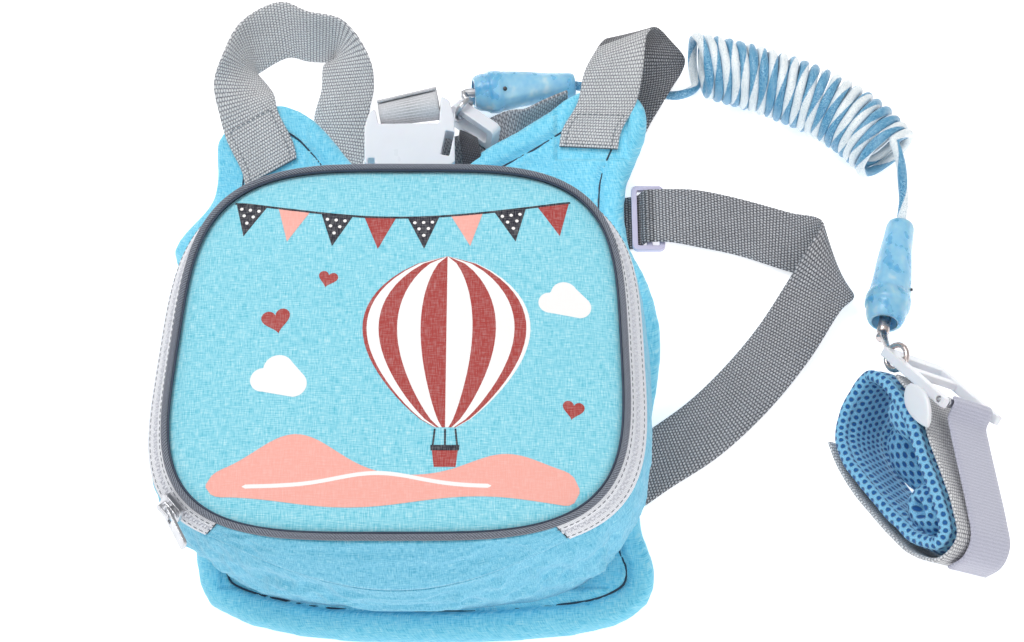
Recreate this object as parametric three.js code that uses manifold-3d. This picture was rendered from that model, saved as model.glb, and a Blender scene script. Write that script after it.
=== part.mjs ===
// A child's harness backpack lying on its back, with its coiled leash and wristband.
// mm, +X to the right of the front, +Y towards the shoulder straps, +Z up off the floor.
import * as THREE from "three";
import Module from "manifold-3d";

const wasm = await Module();
wasm.setup();
const { Manifold, CrossSection } = wasm;

// Driving sizes
const GAP = 0.35; // between neighbouring pieces
const FRONT_W = 196; // front at the zip's outer edge
const FRONT_H = 162.6;
const FRONT_X = -6.8; // the stuffed front sits to the left of the back
const FRONT_Y = 3;
const LEAN = 0.022; // and leans to the right at its top
const RIM_Z = 84.6; // top of the zip band
const SEAM_Z = 72.8; // zip's outer edge
const SAG = 21; // how far the hinge strip's lower seam hangs
const BACK_T = 9; // padded back
const EAR_LIFT = 13; // the ears rise off the floor
const LIFT_FROM = 95;
const WALL = 2;
const PIPING_R = 1.8;
const WEB = 27; // webbing width
const WEB_T = 1.6;
const CORD_D = 4.5;
const COIL_R = 16;
const SLEEVE_R = 9.5;
const PAD_T = 6.5;
const AROUND = 56; // points round the bag

const group = new THREE.Group();
const V = (x, y, z) => new THREE.Vector3(x, y, z);

function add(name, solidOrGeometry, color, extra = {}) {
  const g = solidOrGeometry.isBufferGeometry ? solidOrGeometry : geometryOf(solidOrGeometry);
  const material = new THREE.MeshStandardMaterial({ color, roughness: 0.8, ...extra });
  const mesh = new THREE.Mesh(g, material);
  mesh.name = name;
  group.add(mesh);
  return mesh;
}

function geometryOf(solid) {
  const m = solid.getMesh();
  const position = new Float32Array(m.numVert * 3);
  for (let i = 0; i < m.numVert; i++) {
    position.set(m.vertProperties.subarray(i * m.numProp, i * m.numProp + 3), i * 3);
  }
  return new THREE.BufferGeometry()
    .setAttribute("position", new THREE.BufferAttribute(position, 3))
    .setIndex(new THREE.BufferAttribute(m.triVerts, 1));
}

function solidFrom(points, triangles) {
  let volume = 0;
  for (const [a, b, c] of triangles) {
    volume += points[a].dot(V(0, 0, 0).crossVectors(points[b], points[c]));
  }
  const turned = volume < 0 ? triangles.map(([a, b, c]) => [a, c, b]) : triangles;
  return new Manifold(
    new wasm.Mesh({
      numProp: 3,
      vertProperties: Float32Array.from(points.flatMap((p) => [p.x, p.y, p.z])),
      triVerts: Uint32Array.from(turned.flat()),
    }),
  );
}

// Sections of equal count, joined in order; closed joins the last to the first, else the ends are capped.
function loft(sections, closed = false) {
  const k = sections[0].length;
  const points = sections.flat();
  const triangles = [];
  const spans = closed ? sections.length : sections.length - 1;
  for (let i = 0; i < spans; i++) {
    const a = i * k;
    const b = ((i + 1) % sections.length) * k;
    for (let j = 0; j < k; j++) {
      const n = (j + 1) % k;
      triangles.push([a + j, b + j, b + n], [a + j, b + n, a + n]);
    }
  }
  if (!closed) {
    const last = (sections.length - 1) * k;
    for (const [base, back] of [[0, false], [last, true]]) {
      for (const t of capOf(sections[base / k])) {
        const [p, q, r] = t.map((i) => base + i);
        triangles.push(back ? [p, r, q] : [p, q, r]);
      }
    }
  }
  return solidFrom(points, triangles);
}

// Triangles over one flat section, in its own plane.
function capOf(section) {
  const centre = V(0, 0, 0);
  section.forEach((p) => centre.add(p));
  centre.divideScalar(section.length);
  const normal = V(0, 0, 0);
  section.forEach((p, i) => {
    const q = section[(i + 1) % section.length];
    normal.add(V(0, 0, 0).crossVectors(p.clone().sub(centre), q.clone().sub(centre)));
  });
  normal.normalize();
  const side = section[0].clone().sub(centre).normalize();
  const up = V(0, 0, 0).crossVectors(normal, side);
  const flat = section.map((p) => {
    const d = p.clone().sub(centre);
    return new THREE.Vector2(d.dot(side), d.dot(up));
  });
  return THREE.ShapeUtils.triangulateShape(flat, []);
}

const smooth = (points, count, closed = false) =>
  new THREE.CatmullRomCurve3(points, closed, "centripetal").getPoints(count);

// Webbing from stations [x, y, z, turn, rise, width share]: the width lies along turn and rise.
function ribbon(stations, steps, width = WEB, thickness = WEB_T) {
  const across = ([, , , turn, rise, share = 1]) => {
    const t = THREE.MathUtils.degToRad(turn);
    const r = THREE.MathUtils.degToRad(rise);
    return V(Math.cos(r) * Math.cos(t), Math.cos(r) * Math.sin(t), Math.sin(r))
      .multiplyScalar((width * share) / 2);
  };
  const left = smooth(stations.map((s) => V(s[0], s[1], s[2]).sub(across(s))), steps);
  const right = smooth(stations.map((s) => V(s[0], s[1], s[2]).add(across(s))), steps);
  return loft(left.map((l, i) => {
    const before = Math.max(i - 1, 0);
    const after = Math.min(i + 1, left.length - 1);
    const run = left[after].clone().add(right[after]).sub(left[before]).sub(right[before]);
    const n = V(0, 0, 0).crossVectors(run, right[i].clone().sub(l)).normalize();
    n.multiplyScalar(thickness / 2);
    const r = right[i];
    return [l.clone().add(n), r.clone().add(n), r.clone().sub(n), l.clone().sub(n)];
  }));
}

// Round bar along points, with its radius at each share of the length.
function bar(points, radiusAt, sides = 10, steps = points.length - 1, hollow = 0) {
  const line = smooth(points, steps);
  const frames = framesOf(line);
  const sections = line.map((p, i) => {
    const r = typeof radiusAt === "number" ? radiusAt : radiusAt(i / (line.length - 1));
    return circle(p, frames[i], r, sides);
  });
  const outer = loft(sections);
  if (!hollow) return outer;
  const inner = loft(line.map((p, i) => {
    const past = i === 0 ? -0.5 : i === line.length - 1 ? 0.5 : 0;
    return circle(p.clone().addScaledVector(frames[i].t, past), frames[i], hollow, sides);
  }));
  return outer.subtract(inner);
}

function circle(p, { n, b }, r, sides) {
  return Array.from({ length: sides }, (_, j) => {
    const a = (j / sides) * 2 * Math.PI;
    return p.clone().addScaledVector(n, r * Math.cos(a)).addScaledVector(b, r * Math.sin(a));
  });
}

function framesOf(line) {
  let n = null;
  return line.map((p, i) => {
    const t = line[Math.min(i + 1, line.length - 1)].clone().sub(line[Math.max(i - 1, 0)]);
    t.normalize();
    if (!n) n = Math.abs(t.z) < 0.9 ? V(0, 0, 1) : V(1, 0, 0);
    n = n.clone().addScaledVector(t, -n.dot(t)).normalize();
    return { t, n, b: V(0, 0, 0).crossVectors(t, n) };
  });
}

// A flat shape of x, y points, rounded by r, made t thick about z = 0.
function plate(points, t, r = 0) {
  let shape = new CrossSection([points]);
  if (r) shape = shape.offset(-r, "Miter").offset(r, "Round", 2, 16);
  return Manifold.extrude(shape, t).translate([0, 0, -t / 2]);
}
const rectangle = (x0, y0, x1, y1) => [[x0, y0], [x1, y0], [x1, y1], [x0, y1]];
const roundRect = (w, h, t, r) => plate(rectangle(-w / 2, -h / 2, w / 2, h / 2), t, r);

// Moves a solid so that its own x, y, z run along the given directions.
function place(solid, x, y, origin) {
  const ex = x.clone().normalize();
  const ey = y.clone().addScaledVector(ex, -y.dot(ex)).normalize();
  const ez = V(0, 0, 0).crossVectors(ex, ey);
  return solid.transform([
    ex.x, ex.y, ex.z, 0, ey.x, ey.y, ey.z, 0, ez.x, ez.y, ez.z, 0, origin.x, origin.y, origin.z, 1,
  ]);
}

// The bag's outlines
const power = (v, e) => Math.sign(v) * Math.abs(v) ** e;
function oval(angle, cx, cy, a, b, taper, lean = 0, n = 3.7) {
  const s = power(Math.sin(angle), 2 / n);
  return [cx + a * (1 - taper * s) * power(Math.cos(angle), 2 / n) + lean * b * s, cy + b * s];
}
const HINGE_FROM = THREE.MathUtils.degToRad(237.6); // lower left end of the zip
const HINGE_TO = THREE.MathUtils.degToRad(299);
function rim(angle) {
  const [x, y] = oval(angle, FRONT_X, FRONT_Y, FRONT_W / 2 - 8, FRONT_H / 2 - 0.5, 0.042, LEAN);
  return V(x, y, RIM_Z);
}
function sagAt(x) {
  const u = (x + 78) / 140;
  return u <= 0 || u >= 1 ? 0 : Math.sin(Math.PI * u) ** 1.3;
}
function seam(angle) {
  const [x, y] = oval(angle, FRONT_X, FRONT_Y - 0.2, FRONT_W / 2, FRONT_H / 2 + 0.3, 0.042, LEAN);
  const sag = y < 0 ? sagAt(x) : 0;
  return V(x, y - 9.5 * sag, SEAM_Z - SAG * sag);
}
function base(angle) {
  const [x, y] = oval(angle, -2.5, 0.5, 90, 82.5, 0.01);
  return V(x, y, BACK_T + GAP);
}

// Gusset: from the back to the zip, bulging between them
const bodySections = [];
for (let i = 0; i < AROUND; i++) {
  const angle = (i / AROUND) * 2 * Math.PI;
  const foot = base(angle);
  const top = seam(angle);
  const out = V(top.x - FRONT_X, top.y, 0).normalize();
  const at = (share, inset) => {
    const p = foot.clone().lerp(top, share);
    return p.addScaledVector(out, 5 * 4 * share * (1 - share) - inset);
  };
  const levels = [0, 0.33, 0.68, 1];
  bodySections.push([
    ...levels.map((s) => at(s, 0)),
    ...levels.slice().reverse().map((s) => at(s, WALL)),
  ]);
}
add("bag_body", loft(bodySections, true), 0x4fb6dc);

// Zip band: a point across the slant, and out of it
function onBand(angle, share, lift) {
  const r = rim(angle);
  const d = seam(angle).sub(r);
  const step = 0.02;
  const t = rim(angle + step).sub(rim(angle - step));
  const n = V(0, 0, 0).crossVectors(d, t).normalize();
  if (n.x * (r.x - FRONT_X) + n.y * r.y + n.z * 20 < 0) n.negate();
  return r.addScaledVector(d, share).addScaledVector(n, lift);
}
function bandStrip(from, to, steps, share0, share1, low, high) {
  const sections = [];
  for (let i = 0; i <= steps; i++) {
    const angle = from + ((to - from) * i) / steps;
    sections.push([
      onBand(angle, share0, low), onBand(angle, share0, high),
      onBand(angle, share1, high), onBand(angle, share1, low),
    ]);
  }
  return loft(sections);
}
const zipFrom = HINGE_TO - 2 * Math.PI;
add("zip_inner_tape", bandStrip(zipFrom, HINGE_FROM, 42, 0.02, 0.35, -0.6, 0.6), 0xeef0f6);
add("zip_teeth", bandStrip(zipFrom, HINGE_FROM, 42, 0.375, 0.625, -0.9, 1.1), 0xd5d8e0);
add("zip_outer_tape", bandStrip(zipFrom, HINGE_FROM, 42, 0.65, 0.97, -0.6, 0.6), 0xeef0f6);
add("hinge_strip", bandStrip(HINGE_FROM + 0.008, HINGE_TO - 0.008, 20, 0.03, 0.93, -0.8, 0.8), 0x5cc4e2);

// Lid: a crowned panel inside the piping
const CROWN = 5.5;
function lidPoint(angle, share, under) {
  const r = rim(angle);
  const c = V(FRONT_X, FRONT_Y, 0);
  const edge = r.clone().sub(c).setZ(0);
  const inset = (edge.length() - PIPING_R - GAP) / edge.length();
  const p = c.addScaledVector(edge, inset * share);
  p.z = RIM_Z + 1.6 + CROWN * (1 - share ** 2.4) - under;
  return p;
}
const lidRing = (share, under) =>
  Array.from({ length: 48 }, (_, i) => lidPoint((i / 48) * 2 * Math.PI, share, under));
add("front_panel", loft([
  lidRing(0.12, 0), lidRing(0.45, 0), lidRing(0.7, 0), lidRing(0.9, 0), lidRing(1, 0.4),
  lidRing(1, 2.6), lidRing(0.8, 3), lidRing(0.5, 3), lidRing(0.12, 3),
]), 0x74d0e4);

const pipingLine = Array.from({ length: AROUND }, (_, i) => {
  const p = rim((i / AROUND) * 2 * Math.PI);
  p.z += 2.3;
  return p;
});
add("panel_piping", loft(pipingLine.map((p, i) => {
  const t = pipingLine[(i + 1) % AROUND].clone().sub(pipingLine.at(i - 1)).normalize();
  const out = V(t.y, -t.x, 0);
  return circle(p, { n: out, b: V(0, 0, 1) }, PIPING_R, 6);
}), true), 0x6b7280);

// Padded back with its two ears
const backOutline = smooth([
  [0, -96], [45, -94.5], [80, -89], [95, -79], [98.5, -65], [93.5, -48], [93.5, -30], [98, -2], [103, 25],
  [104, 48], [98.5, 72], [91.8, 87], [90, 101],
  [91, 118], [97.5, 134], [101, 148], [97, 158], [83, 163], [68, 161], [56, 153], [40, 143], [24, 134],
  [8, 121], [-8, 115], [-24, 119], [-34, 127], [-43, 138], [-54, 149], [-68, 155], [-86, 150],
  [-98, 138], [-97, 124], [-99, 110], [-108, 98], [-115, 86], [-110, 71], [-100, 52], [-98, 20],
  [-98, -30], [-95, -62], [-88, -80], [-50, -93],
].map(([x, y]) => V(x, y, 0)), 84, true).slice(0, 84);
function backRing(inset, z) {
  const n = backOutline.length;
  return backOutline.map((p, i) => {
    const t = backOutline[(i + 1) % n].clone().sub(backOutline[(i + n - 1) % n]).normalize();
    return V(p.x - t.y * inset, p.y + t.x * inset, z);
  });
}
const backFlat = loft([
  backRing(2.2, 0), backRing(0, 2.4), backRing(0, BACK_T - 2.4), backRing(2.2, BACK_T),
]);
const lift = (y) => (y <= LIFT_FROM ? 0 : EAR_LIFT * Math.min((y - LIFT_FROM) / 62, 1) ** 1.5);
const ears = backFlat.trimByPlane([0, 1, 0], LIFT_FROM).refineToLength(13)
  .warp((v) => {
    v[2] += lift(v[1]);
  });
const run = (x0, y0, x1, y1, w) => {
  const dx = x1 - x0;
  const dy = y1 - y0;
  const long = Math.hypot(dx, dy);
  return place(Manifold.cube([long, w, 4.8], true), V(dx, dy, 0), V(-dy, dx, 0),
    V((x0 + x1) / 2, (y0 + y1) / 2, 0));
};
const LEFT_RUN = [-47, 125, -88.5, -54];
const backSolid = Manifold.union([backFlat.trimByPlane([0, -1, 0], -LIFT_FROM), ears])
  .subtract(run(...LEFT_RUN, WEB + 2))
  .subtract(run(52, 100.5, 120, 102, WEB + 4));
const whole = backSolid.decompose().sort((a, b) => b.volume() - a.volume())[0]; // drops slivers at the grooves
add("back_panel", whole, 0x55bfe0);

// Shoulder webbing
const EAR_TOP = BACK_T + EAR_LIFT;
add("strap_left", ribbon([
  [-72, 122, EAR_TOP - 8.1, 30, 6], [-73.8, 129, EAR_TOP - 6.4, 30, 7], [-81, 143, EAR_TOP - 1.9, 31, 7], [-83.6, 152, EAR_TOP + 1.2, 25, -2],
  [-86.5, 162, EAR_TOP + 2.5, 12, -26], [-88, 173, 24, 20, -58], [-84, 186.5, 19, -72, -47],
  [-69, 197, 17, -82, -44], [-58, 194, 16, -95, -62], [-43.5, 191, 16, -125, -70], [-39.5, 181, 15, -192, -32],
  [-39, 169, 10, -186, -18], [-41.5, 158.5, 6, -182, -12], [-42, 147, 2.2, -188, -2], [-44, 139, 1.3, -193, 0],
  [-47, 125, 1.25, -193, 0], [-66, 43, 1.25, -193, 0], [-85.5, -42, 1.25, -193, 0],
], 48), 0xa9a9ae);
add("strap_right", ribbon([
  [73, 133.3, EAR_TOP - 5.5, -3, 0], [74.5, 141, EAR_TOP - 3.4, -3, 0], [81.5, 153.6, EAR_TOP + 0.6, 0, 0],
  [84.7, 167.4, 28, 2, 2], [88.2, 180.5, 31, 22, 4], [93.5, 187, 28.5, 20, -8], [101, 187, 23.5, 14, -25],
  [107, 181, 18, 12, -22], [105, 175.5, 12.5, 12, -6], [100, 168, 7.6, 10, 6], [94, 160, 5.6, 4, 4],
  [88.5, 152, 4.4, -2, 2], [83.5, 142, 3, -10, 0], [80, 132, 2.8, -16, 0], [78, 125.5, 2.4, -18, 0],
], 46), 0xa9a9ae);

// Lower loop on the right, from the adjuster to the bag's side
add("side_strap_right", ribbon([
  [60, 100.5, 1.25, 90, 0], [84, 101.5, 1.25, 90, 0], [94.6, 102.9, 1.3, 90, 0], [96.1, 103.1, 1.9, 90, 0],
  [97.3, 103.2, 3.9, 90, 0], [98.2, 103.3, 5.6, 90, 0], [99.6, 103.4, 6.6, 90, 0], [103, 103.6, 6.7, 90, 0],
  [110, 103.4, 7, 90, 2], [122, 101.8, 7.2, 91, 13], [140, 98, 6.5, 92, 16], [163, 90, 7, 86, 18], [181, 82, 11, 106, 24, 1.12], [180, 71, 13, 137, 14, 1.1],
  [172.5, 61, 10, 152, 6], [158, 39, 8, 151, 6], [140, 17, 7, 141, 9], [121, -1, 5.5, 122, 16],
  [101.5, -15, 5.5, 100, 14],
], 57), 0xa9a9ae);
const glide = roundRect(15, 33, 2.6, 2.5)
  .subtract(Manifold.cube([4, 28.4, 8], true).translate([-2.9, 0, 0]))
  .subtract(Manifold.cube([3.2, 28.4, 8], true).translate([3.3, 0, 0]));
add("triglide_right", place(glide, V(1, 0, 0), V(0, 1, 0), V(100.2, 103.4, 3.9)), 0xd9d8e8);

// Chest buckle in the neckline
const femaleShape = [
  [-20.5, -12], [-18, -14], [18, -14], [20.5, -12], [20.5, 9], [18.5, 18], [14.5, 21], [13.5, 7],
  [-14, 7], [-15.5, 15], [-18.5, 12], [-20.5, 5],
];
const female = plate(femaleShape, 9.4, 1)
  .subtract(Manifold.cube([30, 22, 5.4], true).translate([0, -12, 0]))
  .subtract(Manifold.cube([4, 12, 12], true).rotate([0, 0, -12]).translate([17.2, -3, 0]))
  .subtract(Manifold.cube([3, 4, 12], true).translate([-17.4, -12, 0]));
const buckleAt = (solid) => place(solid, V(1, 0.03, -0.03), V(-0.03, 1, 0.12), V(-8.7, 134.5, 20.5));
add("chest_buckle_female", buckleAt(female), 0xf0f0f6);
const male = Manifold.union([
  Manifold.cube([16, 20, 4.4], true).translate([0, -12.5, 0]),
  Manifold.cube([4, 16, 4.2], true).translate([-11.4, -10.5, 0]),
  Manifold.cube([4, 16, 4.2], true).translate([11.4, -10.5, 0]),
  roundRect(34, 7.5, 4.4, 1.5).translate([0, -19, 0]).subtract(Manifold.cube([27, 2.6, 8], true).translate([0, -20, 0])),
]);
add("chest_buckle_male", buckleAt(male), 0xe9e9f1);
const rollAxis = V(28.5, 4.3, 2.5);
add("chest_strap_left", place(
  Manifold.cylinder(26, 6.2, 7.6, 14, true).rotate([0, 90, 0]).scale([1, 1, 0.9]),
  rollAxis, V(-0.15, 1, 0), V(-9.6, 150.8, 20.5),
), 0xd7d9dd);
add("chest_strap_right", ribbon([
  [-10, 131, 12.7, 92, -1, 0.8], [1, 132, 12, 94, -1, 0.74], [11.5, 137.4, 6.2, 105, 0, 0.6],
  [22, 139.8, 1.5, 114, 0, 0.86], [31, 144.6, 1.3, 116, 0], [39.5, 148.4, 8.2, 114, 46, 0.7],
  [45, 151.6, 12.4, 120, 80, 0.52], [52, 155, 14.6, 122, 86, 0.5], [58, 157.6, 15.5, 120, 87, 0.5],
  [63.5, 160.2, 15.6, 118, 88, 0.5],
], 32), 0x9a9aa0);

// Haul loop on the neckline, where the leash is hooked
const ringX = V(0.78, -0.62, 0).normalize();
const ringY = V(0.12, 0.15, 0.98).normalize();
const ringAt = V(20.7, 149.6, 9.9);
const ring = roundRect(25, 14, 6, 2.4).subtract(roundRect(18, 6.8, 8, 1.2));
add("haul_ring", place(ring, ringX, ringY, ringAt), 0xf2f2f7);
add("haul_tab", ribbon([
  [20, 125, 14.5, 172, 6], [19.2, 131.5, 16, 168, 6], [18.2, 138.5, 14.8, 162, 6], [17.9, 144.3, 9.5, 155, 6],
], 10, 9.5, 1.4), 0x4a4a52);

// Leash: hook, cover, cord, coil, cord, cover, hook
function hook(centre, axis, mouth, along, ringR, wire) {
  const neck = mouth.clone().addScaledVector(along, -4.5);
  const d = neck.clone().sub(centre);
  const away = d.clone().addScaledVector(axis, -d.dot(axis) / axis.lengthSq()).normalize();
  const loopRing = loft(Array.from({ length: 18 }, (_, i) => {
    const a = (i / 18) * 2 * Math.PI;
    const ax = axis.clone().normalize();
    const side = V(0, 0, 0).crossVectors(ax, away);
    const out = away.clone().multiplyScalar(Math.cos(a)).addScaledVector(side, Math.sin(a));
    return circle(centre.clone().addScaledVector(out, ringR), { n: out, b: ax }, wire, 8);
  }), true);
  const from = centre.clone().addScaledVector(away, ringR);
  return loopRing.add(bar([from, neck, mouth.clone().addScaledVector(along, 2)], (u) => wire + (2.5 - wire) * u, 10, 6));
}
const sleeveShape = (u) => {
  const rows = [[0, 0.74], [0.06, 0.92], [0.24, 1], [0.6, 0.8], [0.86, 0.69], [1, 0.62]];
  const i = Math.max(rows.findIndex(([at]) => at >= u), 1);
  const [a, ra] = rows[i - 1];
  const [b, rb] = rows[i];
  return SLEEVE_R * (ra + ((rb - ra) * (u - a)) / (b - a));
};
function sleeve(from, to) {
  const line = [0, 0.06, 0.15, 0.24, 0.42, 0.6, 0.86, 1].map((u) => from.clone().lerp(to, u));
  const frames = framesOf(line);
  const outer = loft(line.map((p, i) => circle(p, frames[i], sleeveShape([0, 0.06, 0.15, 0.24, 0.42, 0.6, 0.86, 1][i]), 16)));
  const d = to.clone().sub(from);
  const socket = bar([from.clone().addScaledVector(d, -0.02), from.clone().addScaledVector(d, 0.2)], 3.1, 10);
  return outer.subtract(socket);
}
const bagFrom = V(20, 166, 11);
const bagTo = V(67, 172.5, 6.8);
const alongBag = bagTo.clone().sub(bagFrom).normalize();
const bagHook = ringAt.clone().addScaledVector(ringX, -7.3).addScaledVector(ringY, 5.2);
add("leash_sleeve_bag", sleeve(bagFrom, bagTo), 0x5db6ea, { transparent: true, opacity: 0.8 });
add("leash_hook_bag", hook(bagHook, ringX, bagFrom, alongBag, 5.2, 1.4), 0xc8c8cc, { metalness: 1 });
const coilLine = [
  V(124.5, 178.4, COIL_R), V(142.6, 173.4, COIL_R), V(164, 165.6, COIL_R), V(184, 155.4, COIL_R),
  V(199.5, 143, COIL_R), V(210, 129.5, COIL_R),
];
add("leash_coil", bar(coilLine, COIL_R - 0.3, 14, 12, COIL_R - CORD_D - 0.5), 0x5ba4d4);
const coilIn = V(123.2, 178.6, CORD_D / 2 + 0.3);
add("leash_lead_bag", bar([
  bagTo.clone().add(V(0.6, 0.08, -0.05)), V(76, 173.2, 3.8), V(90, 173.6, 2.6), V(108, 175.2, 2.6), coilIn,
], CORD_D / 2, 8, 10), 0x3e90c8);
const wristTop = V(214.6, 98, 7.5);
const wristEnd = V(201.8, 45.5, 15.5);
add("leash_lead_wrist", bar([
  V(210.7, 128.4, 2 * COIL_R - 3.2), V(213.6, 120.5, 25), V(215.8, 109, 13.5), wristTop.clone().add(V(0.3, 1.6, 0.5)),
], CORD_D / 2, 8, 8), 0x3e90c8);
add("leash_sleeve_wrist", sleeve(wristEnd, wristTop), 0x5db6ea, { transparent: true, opacity: 0.8 });

// Wristband: an oval loop, in its own axes: L along the oval, S across it, A out of the opening
const A = V(-0.759, -0.05, 0.649).normalize();
const L = V(0.119, -0.991, 0.063);
L.addScaledVector(A, -L.dot(A)).normalize();
const S = V(0, 0, 0).crossVectors(A, L).negate();
if (S.z < 0) S.negate();
const bandAt = V(206.6, -28.4, 32.3);
const onWrist = (l, s, k) =>
  bandAt.clone().addScaledVector(L, l).addScaledVector(S, s).addScaledVector(A, k);
const padLine = smooth([
  [-43, -2], [-33, -19], [-22, -26], [-10, -25.5], [4, -20], [16, -14], [28, -7], [38, 0], [45, 11],
  [41.5, 18.8], [30, 20.6], [16, 19.4], [2, 17.6], [-13, 16.4], [-26, 12], [-37, 6.4],
].map(([l, s]) => V(l, s, 0)), 32, true).slice(0, 32);
const padOut = (i, by) => {
  const n = padLine.length;
  const t = padLine[(i + 1) % n].clone().sub(padLine[(i + n - 1) % n]).normalize();
  return [padLine[i].x + t.y * by, padLine[i].y - t.x * by];
};
// A fold of the padding that bulges into the opening: its middle, half sizes and slant
const padFold = (l, s, k, halfL, halfS, halfA, slant) => place(
  Manifold.sphere(1, 12).scale([halfL, halfS, halfA]), L.clone().addScaledVector(S, slant),
  S.clone().addScaledVector(L, -slant), onWrist(l, s, k),
);
const PAD_NEAR = 18;
const PAD_FAR = -14;
add("wrist_pad", loft(padLine.map((_, i) => [
  onWrist(...padOut(i, -1), PAD_NEAR), onWrist(...padOut(i, 0), PAD_NEAR - 2),
  onWrist(...padOut(i, 0), PAD_FAR + 2), onWrist(...padOut(i, -1), PAD_FAR),
  onWrist(...padOut(i, -PAD_T + 1), PAD_FAR), onWrist(...padOut(i, -PAD_T), PAD_FAR + 2),
  onWrist(...padOut(i, -PAD_T), PAD_NEAR - 2), onWrist(...padOut(i, -PAD_T + 1), PAD_NEAR),
]), true).add(padFold(-16, 8, 10, 11.5, 6.5, 7.5, 0.32)).add(padFold(24, 6.5, 5, 12.5, 9.5, 10.5, 0.25)), 0x4aa3da);
const wristRibbon = (rows, k0, k1, t, steps) => {
  const line = smooth(rows.map(([l, s]) => V(l, s, 0)), steps);
  return loft(line.map((p, i) => {
    const d = line[Math.min(i + 1, steps)].clone().sub(line[Math.max(i - 1, 0)]).normalize();
    const n = [(-d.y * t) / 2, (d.x * t) / 2];
    return [
      onWrist(p.x + n[0], p.y + n[1], k0), onWrist(p.x + n[0], p.y + n[1], k1),
      onWrist(p.x - n[0], p.y - n[1], k1), onWrist(p.x - n[0], p.y - n[1], k0),
    ];
  }));
};
add("wrist_webbing", wristRibbon([
  [-21, -30], [-9.5, -28], [5, -22.8], [17, -16.6], [29.5, -9.6], [40.5, -1.8], [48, 10.5],
  [43.5, 21.3], [30.5, 23], [16, 21.8], [2, 20], [-13, 18.8], [-25, 15.2], [-34, 11],
], -10, 16, WEB_T, 34), 0x9d9da3);
add("wrist_velcro", wristRibbon([
  [-15.6, 32.2], [-13, 32.2], [-10.9, 30], [-8.4, 27.6], [-2, 27], [16, 26.4], [32, 25.8], [43.5, 24.3], [49.5, 18.5], [50.6, 10.4],
], -14.5, 10.5, 1.5, 26), 0xb9bacb);

// Wristband buckle: a frame over the loop's top end, with a roller for the strap
const frameX = A.clone().negate();
const frameY = L.clone().multiplyScalar(31).addScaledVector(S, 20);
const frame = Manifold.union([
  roundRect(38, 7, 4, 1.9).translate([0, -19.5, 0]),
  plate([[-19, -19], [-13.8, -19], [-13.8, 17], [-16, 20], [-19, 20]], 4, 0),
  plate([[13.8, -19], [19, -19], [19, 20], [16, 20], [13.8, 17]], 4, 0),
  plate(rectangle(-14.5, -9.5, 14.5, -5), 3, 0),
]).subtract(Manifold.cylinder(60, 1.4, 1.4, 10, true).rotate([0, 90, 0]).translate([0, 16.5, 0]));
const frameAt = onWrist(-28.3, 20.2, -2);
add("wrist_buckle", place(frame, frameX, frameY, frameAt), 0xf2f2f7);
const roller = Manifold.cylinder(27, 2.2, 2.2, 12, true).rotate([0, 90, 0])
  .add(Manifold.cylinder(37, 1.05, 1.05, 8, true).rotate([0, 90, 0])).translate([0, 16.5, 0]);
add("wrist_roller", place(roller, frameX, frameY, frameAt), 0xe0dfe6, { metalness: 0.6 });
const barNear = frameAt.clone().addScaledVector(frameY.clone().normalize(), -19.5).addScaledVector(A, 12);
add("leash_hook_wrist", hook(barNear, A, wristEnd, wristTop.clone().sub(wristEnd).normalize(), 5.4, 1.3), 0xc8c0bf, { metalness: 1 });

// Zip slider and its pull on the lower left corner
const SLIDER = THREE.MathUtils.degToRad(221);
const sliderAt = onBand(SLIDER, 0.5, 3.1);
const alongZip = onBand(SLIDER + 0.03, 0.5, 3.1).sub(onBand(SLIDER - 0.03, 0.5, 3.1)).normalize();
const outZip = onBand(SLIDER, 0.5, 5).sub(onBand(SLIDER, 0.5, 1)).normalize();
const sliderSolid = roundRect(11, 8.4, 2.2, 2)
  .add(roundRect(7.5, 2.2, 4.6, 0.9).subtract(Manifold.cube([4.2, 5, 2.2], true).translate([0, 0, 0.35])).translate([0, 0, 2.4]));
const acrossZip = V(0, 0, 0).crossVectors(outZip, alongZip);
add("zip_slider", place(sliderSolid, alongZip, acrossZip, sliderAt), 0xc9cacf, { metalness: 1 });
const PULL_L = 18;
const PULL_UP = THREE.MathUtils.degToRad(14);
const pullShape = roundRect(5.4, PULL_L, 1.3, 1.6)
  .subtract(Manifold.cube([3, 5, 4], true).translate([0, PULL_L / 2 - 3.7, 0]));
const pivot = sliderAt.clone().addScaledVector(outZip, 2.75);
const pullDir = alongZip.clone().multiplyScalar(Math.cos(PULL_UP)).addScaledVector(outZip, Math.sin(PULL_UP));
add("zip_pull", place(
  pullShape, acrossZip, pullDir.clone().negate(), pivot.clone().addScaledVector(pullDir, PULL_L / 2 - 0.6),
), 0xc2c3c8, { metalness: 1 });

export default group;
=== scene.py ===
# A child's harness backpack on its back, with its coiled leash and wristband.
# Shapes are worked out in millimetres and made in metres, in the solid model's frame.
import math

import bmesh
import bpy
import numpy as np
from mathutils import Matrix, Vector, noise
from mathutils.kdtree import KDTree


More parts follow.
